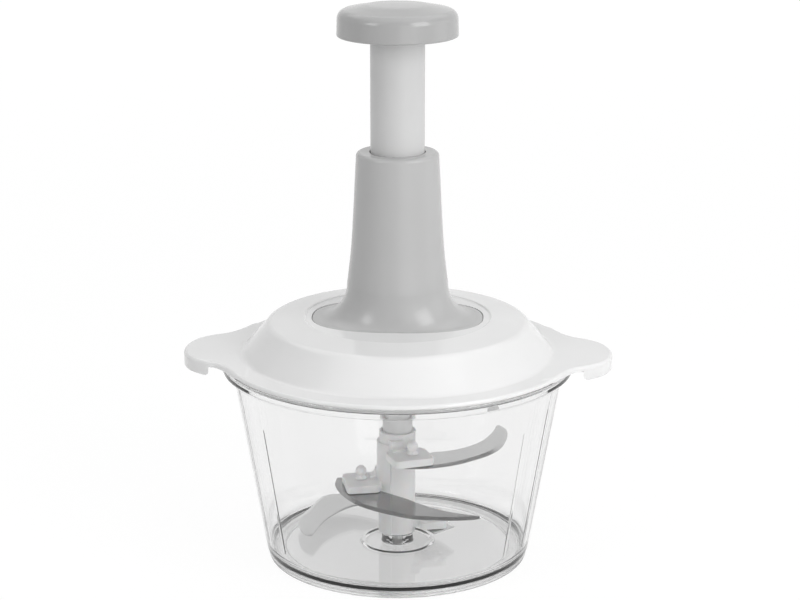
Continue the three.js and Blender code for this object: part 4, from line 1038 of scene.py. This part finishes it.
def build_knob():
    """The knob's shell with a boss for its screw."""
    ceiling = knob_top - knob_cap_thickness
    boss = tube_top + 2 * seat_gap + knob_base_thickness
    boss_radius, inner, outer, edge_height, edge = 4.2, 26.3, 28.7, knob_top - 3.4, 4.6
    body = lathe("knob", [
        [0, boss], [boss_radius, boss, 0.3], [boss_radius, ceiling], [21.7, ceiling - 1.7, 1.0],
        [inner, edge_height - edge, 1.5], [inner, knob_bottom, 0.3],
        [outer, knob_bottom, 0.8], [outer - 0.4, edge_height, edge],
        [outer / 2, knob_top - 0.68, 30], [0, knob_top],
    ], sides=160, steps=10)
    return cut(body, rod(screw_hole, boss - 1, ceiling - 0.3, 24))


def build_knob_base():
    """The plate that closes the knob, with a cup over the tube's end."""
    bore, cup, outer = 13.2, 15.4, 26
    bottom, cap = knob_bottom + 0.7, tube_top + seat_gap
    top, cap_top = bottom + knob_base_thickness, cap + knob_base_thickness
    body = lathe("knob_base", [
        [0, cap], [bore, cap, 0.2], [bore, bottom, 0.3], [outer, bottom, 0.3],
        [outer, top, 0.3], [cup, top, 0.2], [cup, cap_top, 0.4], [0, cap_top],
    ], sides=112)
    return cut(body, rod(screw_hole, cap - 1, cap_top + 1, 24))


dress(build_tube(), "tube_body", "plunger", "plunger_tube", tube_satin)
dress(build_knob(), "knob_body", "plunger", "knob_cap", knob_gloss, 40)
dress(build_knob_base(), "knob_floor", "plunger", "knob_base", knob_gloss)


# Return spring

low_box, high_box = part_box("return_spring")
spring_bottom, spring_top = low_box.z / MM, high_box.z / MM


def build_spring():
    """Round wire with closed end turns, each of which rises by the wire's radius."""
    wire, radius, turns, end_turns = 0.7, 15.0, 9, 0.75
    steps, sides = turns * 40, 14
    height = spring_top - spring_bottom - 2 * wire
    dead = end_turns / turns
    rings = []
    for i in range(steps + 1):
        t = i / steps
        a = 2 * math.pi * turns * t
        if t < dead:
            rise = wire * t / dead
        elif t > 1 - dead:
            rise = height - wire * (1 - t) / dead
        else:
            rise = wire + (height - 2 * wire) * (t - dead) / (1 - 2 * dead)
        ring = []
        for k in range(sides):
            b = 2 * math.pi * k / sides
            r = radius + wire * math.cos(b)
            z = spring_bottom + wire + rise + wire * math.sin(b)
            ring.append((r * math.cos(a), r * math.sin(a), z))
        rings.append(ring)
    return loft("spring", rings)


spring = build_spring()
dress(spring, "spring_coil", "plunger", "return_spring", spring_wire)
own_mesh(spring)


# CAD nodes that stay, with their finishes

finish_of = {"guide_bush": white_satin, "spindle_bush": white_satin,
             "clutch_housing": white_satin, "ratchet_driver": spindle_grey,
             "spindle_clip": spring_wire}
for name, obj in frame["nodes"].items():
    obj.data.materials.clear()
    obj.data.materials.append(finish_of.get(name, machined))


# Floor, background and light

def seen(tree, seen_share, gloss_share, through_share):
    """A share for rays from the camera, off a gloss and through clear plastic, else nothing.

    A ray through clear plastic also counts as one off a gloss, so the later kind wins.
    """
    path = tree.nodes.new("ShaderNodeLightPath")
    share = None
    for ray, wanted in (("Is Glossy Ray", gloss_share), ("Is Transmission Ray", through_share),
                        ("Is Camera Ray", seen_share)):
        mix = tree.nodes.new("ShaderNodeMix")
        tree.links.new(path.outputs[ray], mix.inputs[0])
        mix.inputs[2].default_value = 0.0
        if share is not None:
            tree.links.new(share, mix.inputs[2])
        if isinstance(wanted, float):
            mix.inputs[3].default_value = wanted
        else:
            tree.links.new(wanted, mix.inputs[3])
        share = mix.outputs[0]
    return share


def mixed(tree, share, first, second, out):
    """Two shaders mixed into the output."""
    mix = tree.nodes.new("ShaderNodeMixShader")
    tree.links.new(share, mix.inputs[0])
    tree.links.new(first.outputs[0], mix.inputs[1])
    tree.links.new(second.outputs[0], mix.inputs[2])
    tree.links.new(mix.outputs[0], out.inputs["Surface"])


def stage_plane():
    """A white floor with a soft shadow, which glows out to plain white far away, and with painted
    shade under the bowl.
    """
    size, drop = 6000, -0.2
    obj = make("floor", [(-size, -size, drop), (size, -size, drop), (size, size, drop),
                         (-size, size, drop)], [(0, 1, 2, 3)])
    material = bpy.data.materials.new("floor_white")
    tree, out = empty_tree(material, "ShaderNodeOutputMaterial")
    diffuse = tree.nodes.new("ShaderNodeBsdfDiffuse")
    glow = node(tree, "ShaderNodeEmission", Strength=1.03)
    noise = placed_noise(tree, 3.0, 2.0)
    tree.links.new(blended(tree, noise, tone(0.86), tone(0.88)), diffuse.inputs["Color"])
    place = tree.nodes.new("ShaderNodeTexCoord")
    away = node(tree, "ShaderNodeVectorMath", operation="LENGTH")
    tree.links.new(place.outputs["Object"], away.inputs[0])
    # Seen through clear plastic, the floor glows less under the bowl and so is darker there. This
    # is painted shade under the bowl, on top of the real shadow in the floor's diffuse part.
    painted_shade_glow = ranged(tree, away.outputs["Value"], 0.55, 0.86, 0.062, 0.075)
    far = ranged(tree, away.outputs["Value"], 0.92, 1.0, 0.5, 2.5)
    mixed(tree, seen(tree, far, far, painted_shade_glow), diffuse, glow, out)
    obj.data.materials.append(material)


def world():
    """White where it is seen, and a weak even fill for everything else."""
    studio = bpy.data.worlds.new("studio")
    scene.world = studio
    tree, out = empty_tree(studio, "ShaderNodeOutputWorld")
    fill = node(tree, "ShaderNodeBackground", Color=(1, 1, 1, 1), Strength=0.205)
    white = node(tree, "ShaderNodeBackground", Color=(1, 1, 1, 1), Strength=1.0)
    mixed(tree, seen(tree, 1.0, 1.0, 1.0), fill, white, out)


def lamp(name, place, target, width, height, power):
    """A soft box at a place, its face towards a target."""
    data = bpy.data.lights.new(name, "AREA")
    data.shape = "RECTANGLE"
    data.size, data.size_y = width * MM, height * MM
    data.energy = power
    obj = bpy.data.objects.new(name, data)
    obj.location = Vector(place) * MM
    look = Vector(target) * MM - obj.location
    obj.rotation_euler = look.to_track_quat("-Z", "Y").to_euler()
    scene.collection.objects.link(obj)


def camera():
    """The photo's view, solved from the ellipses of the rims."""
    distance, height, pitch, turn = 1023.306, 419.244, 15.885, math.radians(2.4)
    data = bpy.data.cameras.new("camera")
    data.lens = 99.167
    data.sensor_width = 36
    data.shift_x = 0.003
    data.clip_start, data.clip_end = 0.05, 30
    obj = bpy.data.objects.new("camera", data)
    obj.location = Vector((distance * math.sin(turn), -distance * math.cos(turn), height)) * MM
    obj.rotation_euler = (math.radians(90 - pitch), 0, turn)
    scene.collection.objects.link(obj)
    scene.camera = obj


stage_plane()
world()
lamp("left_box", (-900, -800, 700), (0, 0, 130), 450, 560, 3.0)
lamp("right_box", (900, -800, 700), (0, 0, 130), 750, 950, 8.8)
lamp("front_box", (450, -1100, 200), (0, 0, 100), 700, 700, 1.5)
lamp("top_box", (0, 200, 1500), (0, 0, 100), 2400, 2400, 14.6)
lamp("right_side", (1100, 0, 350), (0, 0, 150), 600, 900, 1.1)
lamp("left_side", (-1100, 200, 350), (0, 0, 150), 600, 900, 0.3)
camera()
scene.view_settings.view_transform = "Standard"
